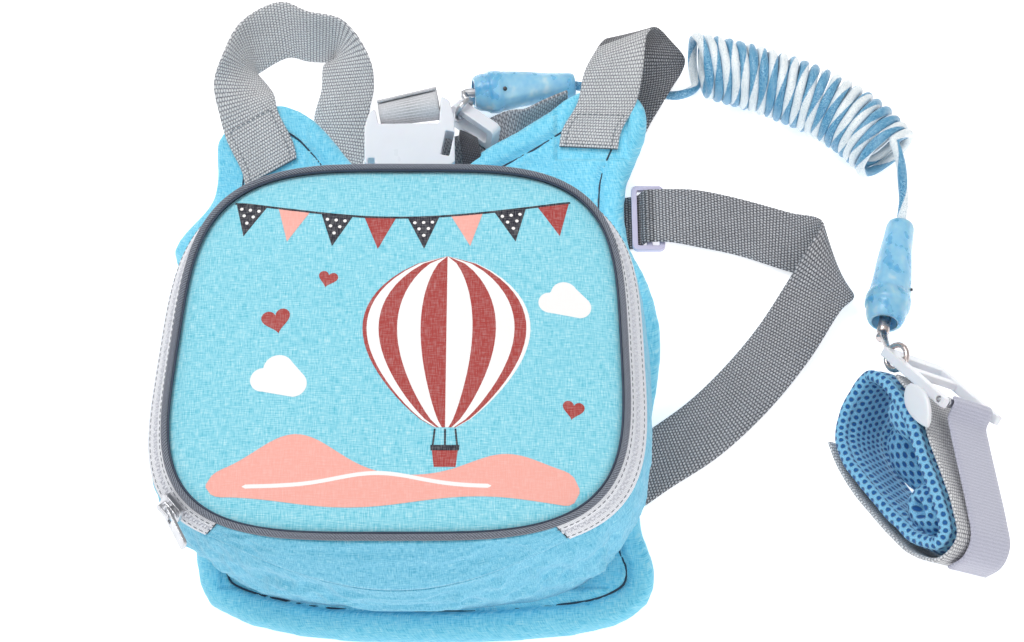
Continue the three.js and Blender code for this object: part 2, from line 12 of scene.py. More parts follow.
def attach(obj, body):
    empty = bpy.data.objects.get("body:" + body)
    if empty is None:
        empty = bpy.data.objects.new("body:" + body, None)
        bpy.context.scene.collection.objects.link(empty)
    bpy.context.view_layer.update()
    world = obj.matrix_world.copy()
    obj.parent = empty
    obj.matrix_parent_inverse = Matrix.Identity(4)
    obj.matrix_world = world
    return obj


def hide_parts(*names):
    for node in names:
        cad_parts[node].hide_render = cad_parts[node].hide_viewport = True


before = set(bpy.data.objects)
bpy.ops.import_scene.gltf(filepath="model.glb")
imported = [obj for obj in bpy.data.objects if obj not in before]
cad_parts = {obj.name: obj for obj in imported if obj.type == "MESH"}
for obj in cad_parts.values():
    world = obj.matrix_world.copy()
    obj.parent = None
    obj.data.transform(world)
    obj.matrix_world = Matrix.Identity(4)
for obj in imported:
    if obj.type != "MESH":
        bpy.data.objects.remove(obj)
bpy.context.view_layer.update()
MM = 0.001
scene = bpy.context.scene
scene.view_settings.view_transform = "Standard"

# Camera: the photograph's own angle
ELEVATION = math.radians(65)
AIM = Vector((0.038, 0.0536, 0.0))
REACH = 0.893
camera = bpy.data.objects.new("camera", bpy.data.cameras.new("camera"))
scene.collection.objects.link(camera)
camera.location = AIM + Vector((0, -REACH * math.cos(ELEVATION), REACH * math.sin(ELEVATION)))
camera.rotation_euler = (math.radians(90) - ELEVATION, 0, 0)
camera.data.lens = 70
scene.camera = camera


# Curves and frames, in mm
def unit(v):
    v = np.asarray(v, float)
    return v / np.maximum(np.linalg.norm(v, axis=-1, keepdims=True), 1e-9)


def smooth(points, count, closed=False):
    """Centripetal Catmull-Rom through points, count + 1 samples."""
    p = np.asarray(points, float)
    n = len(p)
    out = []
    for i in range(count + 1):
        t = i / count * (n if closed else n - 1)
        k = int(t)
        w = t - k
        if closed:
            p0, p1, p2, p3 = (p[(k + j) % n] for j in (-1, 0, 1, 2))
        else:
            if k == n - 1:
                k, w = n - 2, 1.0
            p1, p2 = p[k], p[k + 1]
            p0 = p[k - 1] if k else 2 * p[0] - p[1]
            p3 = p[k + 2] if k + 2 < n else 2 * p[-1] - p[-2]
        d0, d1, d2 = (max(np.linalg.norm(b - a), 1e-4) ** 0.5
                      for a, b in ((p0, p1), (p1, p2), (p2, p3)))
        m1 = ((p1 - p0) / d0 - (p2 - p0) / (d0 + d1) + (p2 - p1) / d1) * d1
        m2 = ((p2 - p1) / d1 - (p3 - p1) / (d1 + d2) + (p3 - p2) / d2) * d1
        out.append(p1 + m1 * w + (3 * (p2 - p1) - 2 * m1 - m2) * w**2
                   + (2 * (p1 - p2) + m1 + m2) * w**3)
    return np.array(out)


def lengths(line):
    """How far along a line each of its points lies."""
    return np.r_[0, np.cumsum(np.linalg.norm(np.diff(line, axis=0), axis=1))]


def even(line, step, closed=False):
    """The same line with points about step apart."""
    p = np.vstack([line, line[:1]]) if closed else np.asarray(line)
    s = lengths(p)
    n = max(int(round(s[-1] / step)), 2)
    at = np.linspace(0, s[-1], n + 1)
    q = np.stack([np.interp(at, s, p[:, i]) for i in range(p.shape[1])], 1)
    return q[:-1] if closed else q


def at_places(line, places):
    """Points of a line at places that are counted in its steps."""
    return np.stack([np.interp(places, np.arange(len(line)), line[:, i]) for i in range(3)], 1)


def along(line, closed=False):
    if closed:
        return unit(np.roll(line, -1, 0) - np.roll(line, 1, 0))
    return unit(np.gradient(line, axis=0))


def carried(line, first=(0, 0, 1)):
    """Two directions across a line, turned no more than it turns."""
    t = along(line)
    n = np.array(first, float)
    ns = []
    for d in t:
        n = unit(n - np.dot(n, d) * d)
        ns.append(n)
    ns = np.array(ns)
    return t, ns, np.cross(t, ns)


def wave(p, size, seed=0.0, octaves=2):
    """Smooth noise of about -1 to 1 at points p, with features of that size."""
    q = np.asarray(p, float) / size + seed * 7.31
    flat = q.reshape(-1, 3)
    v = [noise.fractal(Vector(r), 0.8, 2.1, octaves) for r in flat]
    return np.array(v).reshape(q.shape[:-1])


def power(v, e):
    return np.sign(v) * np.abs(v) ** e


def round_angles(count):
    return np.linspace(0, 2 * np.pi, count, endpoint=False)


# Meshes
def placed(name, mesh):
    """A mesh as an object of the scene."""
    piece = bpy.data.objects.new(name, mesh)
    scene.collection.objects.link(piece)
    return piece


def dressed(piece, material):
    piece.data.materials.clear()
    piece.data.materials.append(material)
    piece.data.shade_smooth()
    return piece


def points_of(mesh):
    """The mesh's points, a row for each."""
    co = np.zeros(len(mesh.vertices) * 3)
    mesh.vertices.foreach_get("co", co)
    return co.reshape(-1, 3)


def lay_cloth(mesh, uv):
    """Puts the cloth's own weave on a mesh, from a place in mm for each point."""
    layer = mesh.uv_layers.new(name="cloth")
    loops = np.zeros(len(mesh.loops), int)
    mesh.loops.foreach_get("vertex_index", loops)
    layer.data.foreach_set("uv", np.asarray(uv, float)[loops].ravel())


def made(name, verts, faces, material, uv=None):
    mesh = bpy.data.meshes.new(name)
    mesh.from_pydata((np.asarray(verts) * MM).tolist(), [], faces)
    if uv is not None:
        lay_cloth(mesh, uv)
    mesh.validate()
    return dressed(placed(name, mesh), material)


def applied(piece):
    """Its modifiers' result as its own mesh."""
    graph = bpy.context.evaluated_depsgraph_get()
    graph.update()
    mesh = bpy.data.meshes.new_from_object(piece.evaluated_get(graph), depsgraph=graph)
    piece.modifiers.clear()
    piece.data = mesh
    return piece


def seat(piece, *nodes, body="bag"):
    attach(piece, body)
    if nodes:
        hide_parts(*nodes)
    return piece


def outward(verts, faces):
    """Faces turned so that they enclose a positive volume."""
    volume = 0.0
    for f in faces:
        for i in range(1, len(f) - 1):
            volume += np.dot(verts[f[0]], np.cross(verts[f[i]], verts[f[i + 1]]))
    return faces if volume > 0 else [tuple(reversed(f)) for f in faces]


def joined(rings, closed=False):
    """Rings of equal count joined in order: their points and faces, turned outward."""
    rings = np.asarray(rings, float)
    m, k, _ = rings.shape
    faces = []
    for i in range(m if closed else m - 1):
        a, b = i * k, ((i + 1) % m) * k
        for j in range(k):
            n = (j + 1) % k
            faces.append((a + j, b + j, b + n, a + n))
    if not closed:
        faces += [tuple(range(k)), tuple(range((m - 1) * k, m * k))[::-1]]
    verts = rings.reshape(-1, 3)
    return verts, outward(verts, faces)


def loft(name, rings, material, closed=False, uv=None):
    verts, faces = joined(rings, closed)
    return made(name, verts, faces, material, None if uv is None else np.reshape(uv, (-1, 2)))


def spread(s, across):
    """Cloth places for rings at s, each with points at across."""
    return np.stack(np.broadcast_arrays(s[:, None], across[None, :]), -1)


def there_and_back(v):
    return np.r_[v, v[::-1]]


def circles(line, reach, n, b, turns):
    """A ring round each point of a line, in the plane of n and b."""
    return line[:, None] + reach[..., None] * (
        np.cos(turns)[None, :, None] * n[:, None] + np.sin(turns)[None, :, None] * b[:, None])


def tube(name, line, radius, material, sides=16, closed=False):
    if closed:
        t = along(line, True)
        n = unit(np.cross(t, (0, 0, 1.0)))
        b = np.cross(n, t)
    else:
        _, n, b = carried(line)
    r = np.broadcast_to(np.asarray(radius, float), (len(line),))
    a = round_angles(sides)
    uv = spread(lengths(line), a * np.mean(r))
    return loft(name, circles(line, r[:, None], n, b, a), material, closed, uv)


def web_section(half, thick, count=9):
    """Section of webbing: across and through, with soft edges."""
    x = np.linspace(-1, 1, count) * (half - thick * 0.5)
    top = [(a, thick / 2) for a in x]
    side = [(half - thick * 0.12, thick * 0.28), (half, 0), (half - thick * 0.12, -thick * 0.28)]
    bottom = [(a, -thick / 2) for a in x[::-1]]
    other = [(-a, -b) for a, b in side]
    return np.array(top + side + bottom + other)


def strip(name, left, right, thick, material):
    """Webbing between two edge lines; its weave runs in mm along and across."""
    centre = (left + right) / 2
    width = np.linalg.norm(right - left, axis=1)
    w = (right - left) / width[:, None]
    n = unit(np.cross(along(centre), w))
    rings, uv = [], []
    for i, s in enumerate(lengths(centre)):
        section = web_section(width[i] / 2, thick)
        rings.append(centre[i] + section[:, :1] * w[i] + section[:, 1:] * n[i])
        uv.append(np.stack([np.full(len(section), s), section[:, 0]], 1))
    return loft(name, rings, material, False, np.array(uv))


def shaded(piece, finish, first, last, around=24):
    """Painted shade: a darker weave on the faces between two steps of a strip, where the webbing lies in
    shade.
    """
    piece.data.materials.append(finish)
    for face in piece.data.polygons[first * around:last * around]:
        face.material_index = len(piece.data.materials) - 1
    return piece


def edges_of(stations, steps, width):
    """Both edges of webbing from rows of x, y, z, turn, rise and, if it narrows, its share of the width."""
    left, right = [], []
    for x, y, z, turn, rise, *share in stations:
        t, r = math.radians(turn), math.radians(rise)
        w = np.array([math.cos(r) * math.cos(t), math.cos(r) * math.sin(t), math.sin(r)])
        reach = w * width * (share[0] if share else 1) / 2
        left.append(np.array([x, y, z]) - reach)
        right.append(np.array([x, y, z]) + reach)
    return smooth(left, steps), smooth(right, steps)


def rounded_copy(name, nodes, voxel, rounds):
    """Solids copied into one mesh of even cells, with every edge rounded over."""
    bm = bmesh.new()
    for n in nodes:
        bm.from_mesh(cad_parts[n].data)
    bmesh.ops.remove_doubles(bm, verts=bm.verts, dist=2e-6)
    mesh = bpy.data.meshes.new(name)
    bm.to_mesh(mesh)
    bm.free()
    piece = placed(name, mesh)
    cells = piece.modifiers.new("remesh", "REMESH")
    cells.mode, cells.voxel_size = "VOXEL", voxel * MM
    piece.modifiers.new("smooth", "SMOOTH").iterations = rounds
    return applied(piece)


def moulded(name, node, voxel, rounds, material, body="bag"):
    """Plastic or metal from its own solid."""
    return seat(dressed(rounded_copy(name, [node], voxel, rounds), material), node, body=body)


def repeated(name, points, runs, ups, length, width, height, material):
    """One small bead at each point, its length along runs and its height along ups."""
    mesh = bpy.data.meshes.new(name)
    mesh.from_pydata((np.asarray(points) * MM).tolist(), [], [])
    for key, values in (("run", runs), ("up", ups)):
        a = mesh.attributes.new(key, "FLOAT_VECTOR", "POINT")
        a.data.foreach_set("vector", np.asarray(values, float).ravel())
    piece = placed(name, mesh)
    tree = bpy.data.node_groups.new(name, "GeometryNodeTree")
    socket, node, link = tree.interface.new_socket, tree.nodes.new, tree.links.new
    sizes = {"Length": length, "Width": width, "Height": height}
    socket("Geometry", in_out="INPUT", socket_type="NodeSocketGeometry")
    ids = {key: socket(key, in_out="INPUT", socket_type="NodeSocketFloat").identifier for key in sizes}
    socket("Geometry", in_out="OUTPUT", socket_type="NodeSocketGeometry")
    source, result = node("NodeGroupInput"), node("NodeGroupOutput")
    bead = node("GeometryNodeMeshUVSphere")
    for key, value in (("Segments", 8), ("Rings", 5), ("Radius", 0.5)):
        bead.inputs[key].default_value = value
    size = node("ShaderNodeCombineXYZ")
    for axis, key in zip("XYZ", sizes):
        link(source.outputs[key], size.inputs[axis])
    aim, roll = (node("FunctionNodeAlignRotationToVector") for _ in range(2))
    aim.axis, roll.axis, roll.pivot_axis = "X", "Z", "X"
    for target, key in ((aim, "run"), (roll, "up")):
        named = node("GeometryNodeInputNamedAttribute")
        named.data_type = "FLOAT_VECTOR"
        named.inputs["Name"].default_value = key
        link(named.outputs["Attribute"], target.inputs["Vector"])
    link(aim.outputs["Rotation"], roll.inputs["Rotation"])
    place = node("GeometryNodeInstanceOnPoints")
    real, paint = node("GeometryNodeRealizeInstances"), node("GeometryNodeSetMaterial")
    paint.inputs["Material"].default_value = material
    for output, target in ((source.outputs["Geometry"], place.inputs["Points"]),
                           (bead.outputs["Mesh"], place.inputs["Instance"]),
                           (roll.outputs["Rotation"], place.inputs["Rotation"]),
                           (size.outputs["Vector"], place.inputs["Scale"]),
                           (place.outputs["Instances"], real.inputs["Geometry"]),
                           (real.outputs["Geometry"], paint.inputs["Geometry"]),
                           (paint.outputs["Geometry"], result.inputs["Geometry"])):
        link(output, target)
    repeat = piece.modifiers.new("repeat", "NODES")
    repeat.node_group = tree
    for key, value in sizes.items():
        repeat[ids[key]] = value * MM
    applied(piece)
    piece.data.shade_smooth()
    return seat(piece)


# Finishes
def colour(code):
    """A display colour such as 74d0e4 as linear RGBA."""
    c = [int(code[i:i + 2], 16) / 255 for i in (0, 2, 4)]
    return tuple(v / 12.92 if v <= 0.04045 else ((v + 0.055) / 1.055) ** 2.4 for v in c) + (1.0,)


class Finish:
    """A material being made: each call adds a node and gives back its output."""

    def __init__(self, name, **values):
        self.material = bpy.data.materials.new(name)
        self.material.use_nodes = True
        self.tree = self.material.node_tree
        self.shader = self.tree.nodes["Principled BSDF"]
        for key, value in values.items():
            self.give(self.shader, key.replace("_", " "), value)

    def give(self, node, key, value):
        if isinstance(value, bpy.types.NodeSocket):
            self.tree.links.new(value, node.inputs[key])
        else:
            node.inputs[key].default_value = colour(value) if isinstance(value, str) else value

    def node(self, kind, inputs=(), out=0, **settings):
        n = self.tree.nodes.new("ShaderNode" + kind)
        for key, value in settings.items():
            setattr(n, key, value)
        for key, value in dict(inputs).items():
            self.give(n, key, value)
        return n.outputs[out]

    def math(self, what, a, b=0.0, c=0.0):
        return self.node("Math", {0: a, 1: b, 2: c}, operation=what)

    def vector(self, what, a, b=(0, 0, 0), out=0):
        return self.node("VectorMath", {0: a, 1: b}, out, operation=what)

    def place(self, kind="cloth"):
        """Position in mm: on the cloth's own weave, or in the object."""
        if kind == "cloth":
            return self.node("UVMap", uv_map="cloth")
        return self.vector("MULTIPLY", self.node("TexCoord", out="Object"), (1000, 1000, 1000))

    def apart(self, where):
        """The first two numbers of a position."""
        n = self.tree.nodes.new("ShaderNodeSeparateXYZ")
        self.give(n, 0, where)
        return n.outputs[0], n.outputs[1]

    def scaled(self, where, x, y, z=1.0):
        return self.vector("MULTIPLY", where, (1 / x, 1 / y, 1 / z))

    def grain(self, where, x=1.0, y=1.0, z=1.0, detail=2.0):
        at = self.scaled(where, x, y, z)
        return self.node("TexNoise", {"Vector": at, "Scale": 1.0, "Detail": detail, "Roughness": 0.55})

    def slubs(self, at):
        """Thick and thin places along both threads of a cloth."""
        warp = self.grain(at, 0.42, 4.2, detail=1.5)
        weft = self.grain(at, 4.2, 0.42, detail=1.5)
        return self.math("ADD", self.math("MULTIPLY", warp, 0.5), self.math("MULTIPLY", weft, 0.5))

    def ramp(self, value, *stops):
        n = self.tree.nodes.new("ShaderNodeValToRGB")
        self.give(n, 0, value)
        ends = n.color_ramp.elements
        while len(ends) < len(stops):
            ends.new(0.5)
        for e, (at, code) in zip(ends, stops):
            e.position = at
            e.color = colour(code) if isinstance(code, str) else (code, code, code, 1)
        return n.outputs[0]

    def mix(self, share, a, b):
        n = self.tree.nodes.new("ShaderNodeMix")
        n.data_type = "RGBA"
        for key, value in ((0, share), (6, a), (7, b)):
            self.give(n, key, value)
        return n.outputs[2]

    def bump(self, height, distance, strength):
        return self.node("Bump", {"Height": height, "Distance": distance * MM, "Strength": strength})

    def done(self, base, rough, normal=None):
        for key, value in (("Base Color", base), ("Roughness", rough), ("Normal", normal)):
            if value is not None:
                self.give(self.shader, key, value)
        return self.material


def melange(name, dark, middle, light, pale, depth=0.12):
    """Two-tone woven polyester: pale and deep slubs along both threads."""
    f = Finish(name, Sheen_Weight=0.25, Sheen_Roughness=0.5, Specular_IOR_Level=0.25)
    at = f.place()
    both = f.slubs(at)
    tone = f.ramp(both, (0.36, dark), (0.46, middle), (0.56, light), (0.68, pale))
    cloudy = f.grain(at, 38, 38)
    tone = f.mix(f.math("MULTIPLY", cloudy, 0.25), tone, dark)
    x, y = f.apart(f.scaled(at, 0.32, 0.32))
    weave = f.math("MULTIPLY", f.math("SINE", x), f.math("SINE", y))
    height = f.math("ADD", f.math("MULTIPLY", weave, 0.25), both)
    rough = f.math("MULTIPLY_ADD", both, 0.2, 0.72)
    return f.done(tone, rough, f.bump(height, depth, 0.8))


def webbing(name, dark, middle, light, rib=1.5, across=1.25, depth=0.35, shine=0.3):
    """Woven strap: rows of plump picks with dark gaps between them."""
    f = Finish(name, Sheen_Weight=0.15, Specular_IOR_Level=shine)
    at = f.place()
    u, v = f.apart(at)
    row = f.math("DIVIDE", u, rib)
    odd = f.math("MULTIPLY", f.math("FLOOR", row), 0.5)
    a = f.math("ABSOLUTE", f.math("SINE", f.math("MULTIPLY", row, math.pi)))
    col = f.math("ADD", f.math("DIVIDE", v, across), odd)
    b = f.math("ABSOLUTE", f.math("SINE", f.math("MULTIPLY", col, math.pi)))
    pick = f.math("POWER", f.math("MULTIPLY", a, b), 0.6)
    fleck = f.grain(at, 0.7, 0.7, detail=2)
    value = f.math("ADD", f.math("MULTIPLY", pick, 0.75), f.math("MULTIPLY_ADD", fleck, 0.9, -0.35))
    tone = f.ramp(value, (0.1, dark), (0.5, middle), (0.95, light))
    worn = f.math("MULTIPLY", f.grain(at, 25, 12), 0.3)
    return f.done(f.mix(worn, tone, dark), 0.7, f.bump(pick, depth, 0.9))


def worn_hard(f, code, deep, grains, patchy, rough, spread_out, relief):
    """A hard surface: fine grain, and patches that are a little deeper and rougher."""
    at = f.place("object")
    fine = f.grain(at, *[grains[0]] * 3, detail=3)
    broad = f.grain(at, *[grains[1]] * 3)
    shade = tuple(deep * c for c in colour(code)[:3]) + (1,)
    tone = f.mix(f.math("MULTIPLY", broad, patchy), code, shade)
    return f.done(tone, f.math("MULTIPLY_ADD", broad, spread_out, rough), f.bump(fine, relief, 0.5))


def gloss(name, code, rough=0.28, **values):
    """Moulded plastic: faint ripples and a little wear."""
    f = Finish(name, Coat_Weight=0.25, Coat_Roughness=0.15, **values)
    return worn_hard(f, code, 0.82, (0.6, 9), 0.35, rough - 0.08, 0.2, 0.04)


def metal(name, code, rough=0.3):
    """Cast and tumbled metal."""
    return worn_hard(Finish(name, Metallic=1.0), code, 0.6, (0.5, 3), 0.6, rough - 0.1, 0.25, 0.05)


def piping_finish():
    f = Finish("grey_piping", Sheen_Weight=0.2)
    at = f.place()
    twill, across = f.apart(at)
    slant = f.math("SINE", f.math("MULTIPLY", f.math("ADD", twill, across), 5.2))
    tone = f.ramp(f.math("MULTIPLY_ADD", slant, 0.3, f.grain(at, 0.8, 0.5)),
                  (0.2, "474c57"), (0.5, "666c79"), (0.85, "8b919d"))
    return f.done(tone, 0.75, f.bump(slant, 0.08, 0.6))


def cord_finish():
    """Twisted cord: white and blue strands, told apart by the strand value on the mesh."""
    f = Finish("twisted_cord", Specular_IOR_Level=0.6, Coat_Weight=0.2)
    strand = f.node("Attribute", out="Fac", attribute_name="strand")
    fine = f.grain(f.place("object"), 0.35, 0.35, 0.35, detail=3)
    blue = f.ramp(fine, (0.34, "1f5f8e"), (0.48, "3f8dbb"), (0.6, "86c3dd"), (0.7, "d8eef4"))
    white = f.ramp(fine, (0.32, "9db4c2"), (0.46, "e4eef2"), (0.6, "fbfdfd"))
    edge = f.math("MULTIPLY_ADD", fine, 0.35, f.math("SUBTRACT", strand, 0.17))
    sharp = f.ramp(edge, (0.4, 0.0), (0.6, 1.0))
    return f.done(f.mix(sharp, blue, white), 0.38, f.bump(fine, 0.12, 0.6))


def sleeve_finish():
    """Clear blue moulding, cloudy inside."""
    f = Finish("blue_sleeve", Transmission_Weight=0.25, IOR=1.35, Coat_Weight=0.4,
               Subsurface_Weight=0.2, Subsurface_Scale=0.003)
    cloudy = f.grain(f.place("object"), 7, 9, 7)
    tone = f.ramp(cloudy, (0.3, "62b6e4"), (0.45, "92d2f2"), (0.6, "a8def6"), (0.72, "d4effa"))
    return f.done(tone, f.math("MULTIPLY_ADD", cloudy, 0.3, 0.15), f.bump(cloudy, 0.25, 0.5))


def mesh_finish():
    """Spacer mesh: rows of round holes, the cloth below them painted dark as shade in the holes."""
    f = Finish("air_mesh", Sheen_Weight=0.2, Specular_IOR_Level=0.3)
    at = f.place()
    pitch = 3.7
    rise = pitch * math.sqrt(3)

    def hole(share):
        """Distance from the nearest hole, for rows set off by a share of the pitch."""
        p = f.vector("ADD", f.scaled(at, pitch, rise), (share, share, 0))
        p = f.vector("ADD", f.vector("FRACTION", p), (-0.5, -0.5, 0))
        return f.vector("LENGTH", f.vector("MULTIPLY", p, (pitch, rise, 0)), out="Value")

    ring = f.ramp(f.math("DIVIDE", f.math("MINIMUM", hole(0), hole(0.5)), 2.0), (0.42, 0.0), (0.66, 1.0))
    yarn = f.grain(at, 0.3, 0.3, 0.3, detail=3)
    top = f.ramp(yarn, (0.3, "4f9fd2"), (0.5, "7cc2e8"), (0.72, "c0e6f6"))
    height = f.math("ADD", ring, f.math("MULTIPLY", yarn, 0.25))
    # The holes take dark blue: the cloth below them, darkened as painted shade.
    return f.done(f.mix(ring, "1c5c9c", top), 0.75, f.bump(height, 0.7, 1.0))


def velcro_finish():
    """Loop tape: faint ribs under a fuzz."""
    f = Finish("loop_tape", Sheen_Weight=0.5, Specular_IOR_Level=0.2)
    at = f.place()
    rib = f.math("SINE", f.math("MULTIPLY", f.apart(at)[0], 2 * math.pi / 1.4))
    fuzz = f.grain(at, 0.5, 0.35, detail=4)
    tone = f.ramp(f.math("MULTIPLY_ADD", rib, 0.05, fuzz), (0.25, "8f90a3"), (0.5, "b4b5c6"), (0.8, "d3d4e0"))
    return f.done(tone, 0.9, f.bump(f.math("MULTIPLY_ADD", rib, 0.3, fuzz), 0.14, 0.8))


def printed(name, code):
    """Print ink on the cloth: the weave shows through."""
    f = Finish(name, Specular_IOR_Level=0.3)
    both = f.slubs(f.place())
    worn = f.math("MULTIPLY", f.ramp(both, (0.45, 0.0), (0.7, 1.0)), 0.16)
    return f.done(f.mix(worn, code, "ffffff"), 0.6, f.bump(both, 0.1, 0.8))


LID_CLOTH = melange("lid_cloth", "5fbcd2", "86d0e2", "9fdcea", "c6edf4")
SIDE_CLOTH = melange("side_cloth", "48a6c8", "68bede", "84cfe8", "aee2f2", 0.16)
BACK_CLOTH = melange("back_cloth", "52bade", "7ad6f2", "98e2f8", "bcf0fc", 0.16)
GREY_WEB = webbing("grey_webbing", "6c6d73", "c8c9cd", "ffffff")
# Painted shade: the grey webbing made darker for the side strap, which gets less light than the ear straps.
SHADED_SIDE_WEB = webbing("shaded_side_webbing", "35363b", "8d8e94", "e6e6ea")
THIN_WEB = webbing("ribbed_webbing", "606167", "a5a6ac", "d9dade", 1.1, 3.2, 0.25)
# Dark webbing for the haul tab: its own dark colour, darkened further as painted shade where it lies beside
# the chest buckle.
DARK_WEB = webbing("dark_webbing", "1c1d22", "3b3c44", "6a6b74", 1.2, 1.0)
# Painted shade: a darker copy of the grey webbing, for strap faces that lie in shade.
PAINTED_SHADE_WEB = webbing("painted_shade_webbing", "222226", "6d6e74", "c9cace")
SATIN_WEB = webbing("satin_webbing", "a9aaae", "cdced2", "e6e6e9", 0.5, 60, 0.05, 0.6)
ZIP_CLOTH = webbing("zip_tape", "c4c6cf", "eceef4", "fbfbfd", 0.7, 0.9, 0.1)
ZIP_NYLON = gloss("zip_teeth", "dfe1e8", 0.35)
GREY_THREAD = gloss("grey_thread", "7a8087", 0.6)
NAVY_THREAD = gloss("navy_thread", "20324a", 0.6)
WHITE_PLASTIC = gloss("white_plastic", "e6e8ee", 0.3, Subsurface_Weight=0.1, Subsurface_Scale=0.002)
GLIDE_PLASTIC = gloss("lilac_plastic", "c9c3dc", 0.3)
SILVER = metal("silver_metal", "d5d6da", 0.28)
ROSE_SILVER = metal("rosy_metal", "d8cbc8", 0.25)
DARK_METAL = metal("dark_metal", "6a6468", 0.35)
PIPING = piping_finish()
CORD = cord_finish()
SLEEVE = sleeve_finish()
MESH = mesh_finish()
VELCRO = velcro_finish()
INK = {"brick": printed("brick_ink", "a53b37"), "white": printed("white_ink", "f4f1f0"),
       "pink": printed("pink_ink", "f0a99d"), "navy": printed("navy_ink", "1d1d2c")}


# Leash: one twisted cord, straight, coiled and straight again
CORD_D = 4.5
COIL_R = 16
BAG_FROM, BAG_TO = np.array([20, 166, 11.0]), np.array([67, 172.5, 6.8])
WRIST_TOP, WRIST_END = np.array([214.6, 98, 7.5]), np.array([201.8, 45.5, 15.5])
COIL_LINE = [(124.5, 178.4), (142.6, 173.4), (164, 165.6), (184, 155.4), (199.5, 143), (210, 129.5)]
TURNS = 21.5
PER_TURN = 44
LAY = 2 * math.pi * (COIL_R - CORD_D / 2) / 1.87  # length in which the strands turn once


def leash_route():
    """The cord's centre line, and the direction out of the coil at each of its points."""
    line = even(smooth([(x, y, COIL_R) for x, y in COIL_LINE], 400), 0.25)
    n = int(TURNS * PER_TURN)
    share = np.linspace(0, 1, n + 1)
    at = share * (len(line) - 1)
    heading = at_places(along(line), at)
    lean = np.radians(25) * np.clip(1 - share / 0.75, 0, 1)
    side = np.arctan2(heading[:, 1], heading[:, 0]) + math.pi / 2 + lean
    out = np.stack([np.cos(side), np.sin(side), np.zeros(n + 1)], 1)
    turn = -math.pi / 2 + share * TURNS * 2 * math.pi
    ref = np.cos(turn)[:, None] * out + np.sin(turn)[:, None] * np.array([0, 0, 1.0])
    coil = at_places(line, at) + (COIL_R - CORD_D / 2 - 0.15) * ref
    first = smooth([BAG_TO + (0.4, 0.05, -0.05), (76, 173.2, 4.2), (90, 173.2, 2.6), (103, 171.2, 2.6),
                    (114, 169.6, 2.6), (121, 171.6, 2.6), coil[0] + (0.5, -3.4, 0), coil[0]], 60)[:-1]
    last = smooth([coil[-1], coil[-1] + (2.4, -6, -2.2), (215.2, 113, 17.5), (215.8, 106, 11.2),
                   WRIST_TOP + (0.3, 1.2, 0.1), WRIST_TOP + (0.1, 0.4, 0.0)], 44)[1:]
    refs = np.vstack([np.tile(ref[0], (len(first), 1)), ref, np.tile(ref[-1], (len(last), 1))])
    return np.vstack([first, coil, last]), refs


def twisted_cord():
    path, refs = leash_route()
    t = along(path)
    n = unit(refs - np.sum(refs * t, 1, keepdims=True) * t)
    s = lengths(path)
    a = round_angles(18)
    turn = a[None, :] - 2 * np.pi * s[:, None] / LAY
    r = CORD_D / 2 * (0.88 + 0.13 * np.abs(np.cos(1.5 * turn)))
    piece = loft("leash_cord", circles(path, r, n, np.cross(t, n), a), CORD)
    white = np.clip(np.cos(turn) + 0.5, 0, 1)
    values = piece.data.attributes.new("strand", "FLOAT", "POINT")
    values.data.foreach_set("value", white.ravel().astype(np.float32))
    return seat(piece, "leash_lead_bag", "leash_coil", "leash_lead_wrist"), path, s[-1]


def leash_sleeve(name, start, end):
    """A clear moulded cover round the hook's shank: wide mouth, slim tail."""
    rows = [(0, 0.72), (0.015, 0.8), (0.06, 0.9), (0.13, 0.95), (0.16, 1.04), (0.24, 1.06), (0.28, 0.98),
            (0.42, 0.9), (0.6, 0.81), (0.72, 0.75), (0.86, 0.7), (0.97, 0.66), (1, 0.6)]
    share = np.linspace(0, 1, 70)
    line = start + (end - start) * share[:, None]
    _, n, b = carried(line)
    a = round_angles(36)
    crease = 1 + 0.035 * np.sin(3 * a[None, :] + 9 * share[:, None]) * np.sin(share * math.pi)[:, None]
    r = 9.5 * np.interp(share, *zip(*rows))[:, None] * crease
    mouth = slice(12, None, -1)
    rings = circles(line, r, n, b, a)
    hollow = circles(line[mouth], r[mouth] - 1.2, n[mouth], b[mouth], a)
    return loft(name, np.vstack([rings[::-1], hollow[::-1]]), SLEEVE)


cord, cord_path, cord_length = twisted_cord()
sleeve_bag = seat(leash_sleeve("sleeve_bag", BAG_FROM, BAG_TO), "leash_sleeve_bag")
sleeve_wrist = seat(leash_sleeve("sleeve_wrist", WRIST_END, WRIST_TOP), "leash_sleeve_wrist")
moulded("hook_bag", "leash_hook_bag", 0.28, 3, SILVER)
moulded("hook_wrist", "leash_hook_wrist", 0.28, 3, ROSE_SILVER)


# The bag's outlines, the same as the solids'
FRONT_X, FRONT_Y, RIM_Z, SEAM_Z, SAG, BACK_T = -6.8, 3, 84.6, 72.8, 21, 9
LEAN = 0.022
PIPING_R, GAP, CROWN = 1.35, 0.3, 5.5
ZIP_FROM, ZIP_TO = math.radians(299) - 2 * math.pi, math.radians(237.6)


def oval(angle, cx, cy, a, b, taper, lean=0.0, n=3.7):
    s = power(np.sin(angle), 2 / n)
    return cx + a * (1 - taper * s) * power(np.cos(angle), 2 / n) + lean * b * s, cy + b * s


def rim(angle):
    x, y = oval(angle, FRONT_X, FRONT_Y, 90, 80.8, 0.042, LEAN)
    return np.stack([x, y, np.full_like(x, RIM_Z)], -1)


def seam(angle):
    x, y = oval(angle, FRONT_X, FRONT_Y - 0.2, 98, 81.6, 0.042, LEAN)
    u = np.clip((x + 78) / 140, 0, 1)
    sag = np.where(y < 0, np.clip(np.sin(np.pi * u), 0, 1) ** 1.3, 0)
    return np.stack([x, y - 9.5 * sag, SEAM_Z - SAG * sag], -1)


def base(angle):
    x, y = oval(angle, -2.5, 0.5, 90, 82.5, 0.01)
    return np.stack([x, y, np.full_like(x, BACK_T + GAP)], -1)


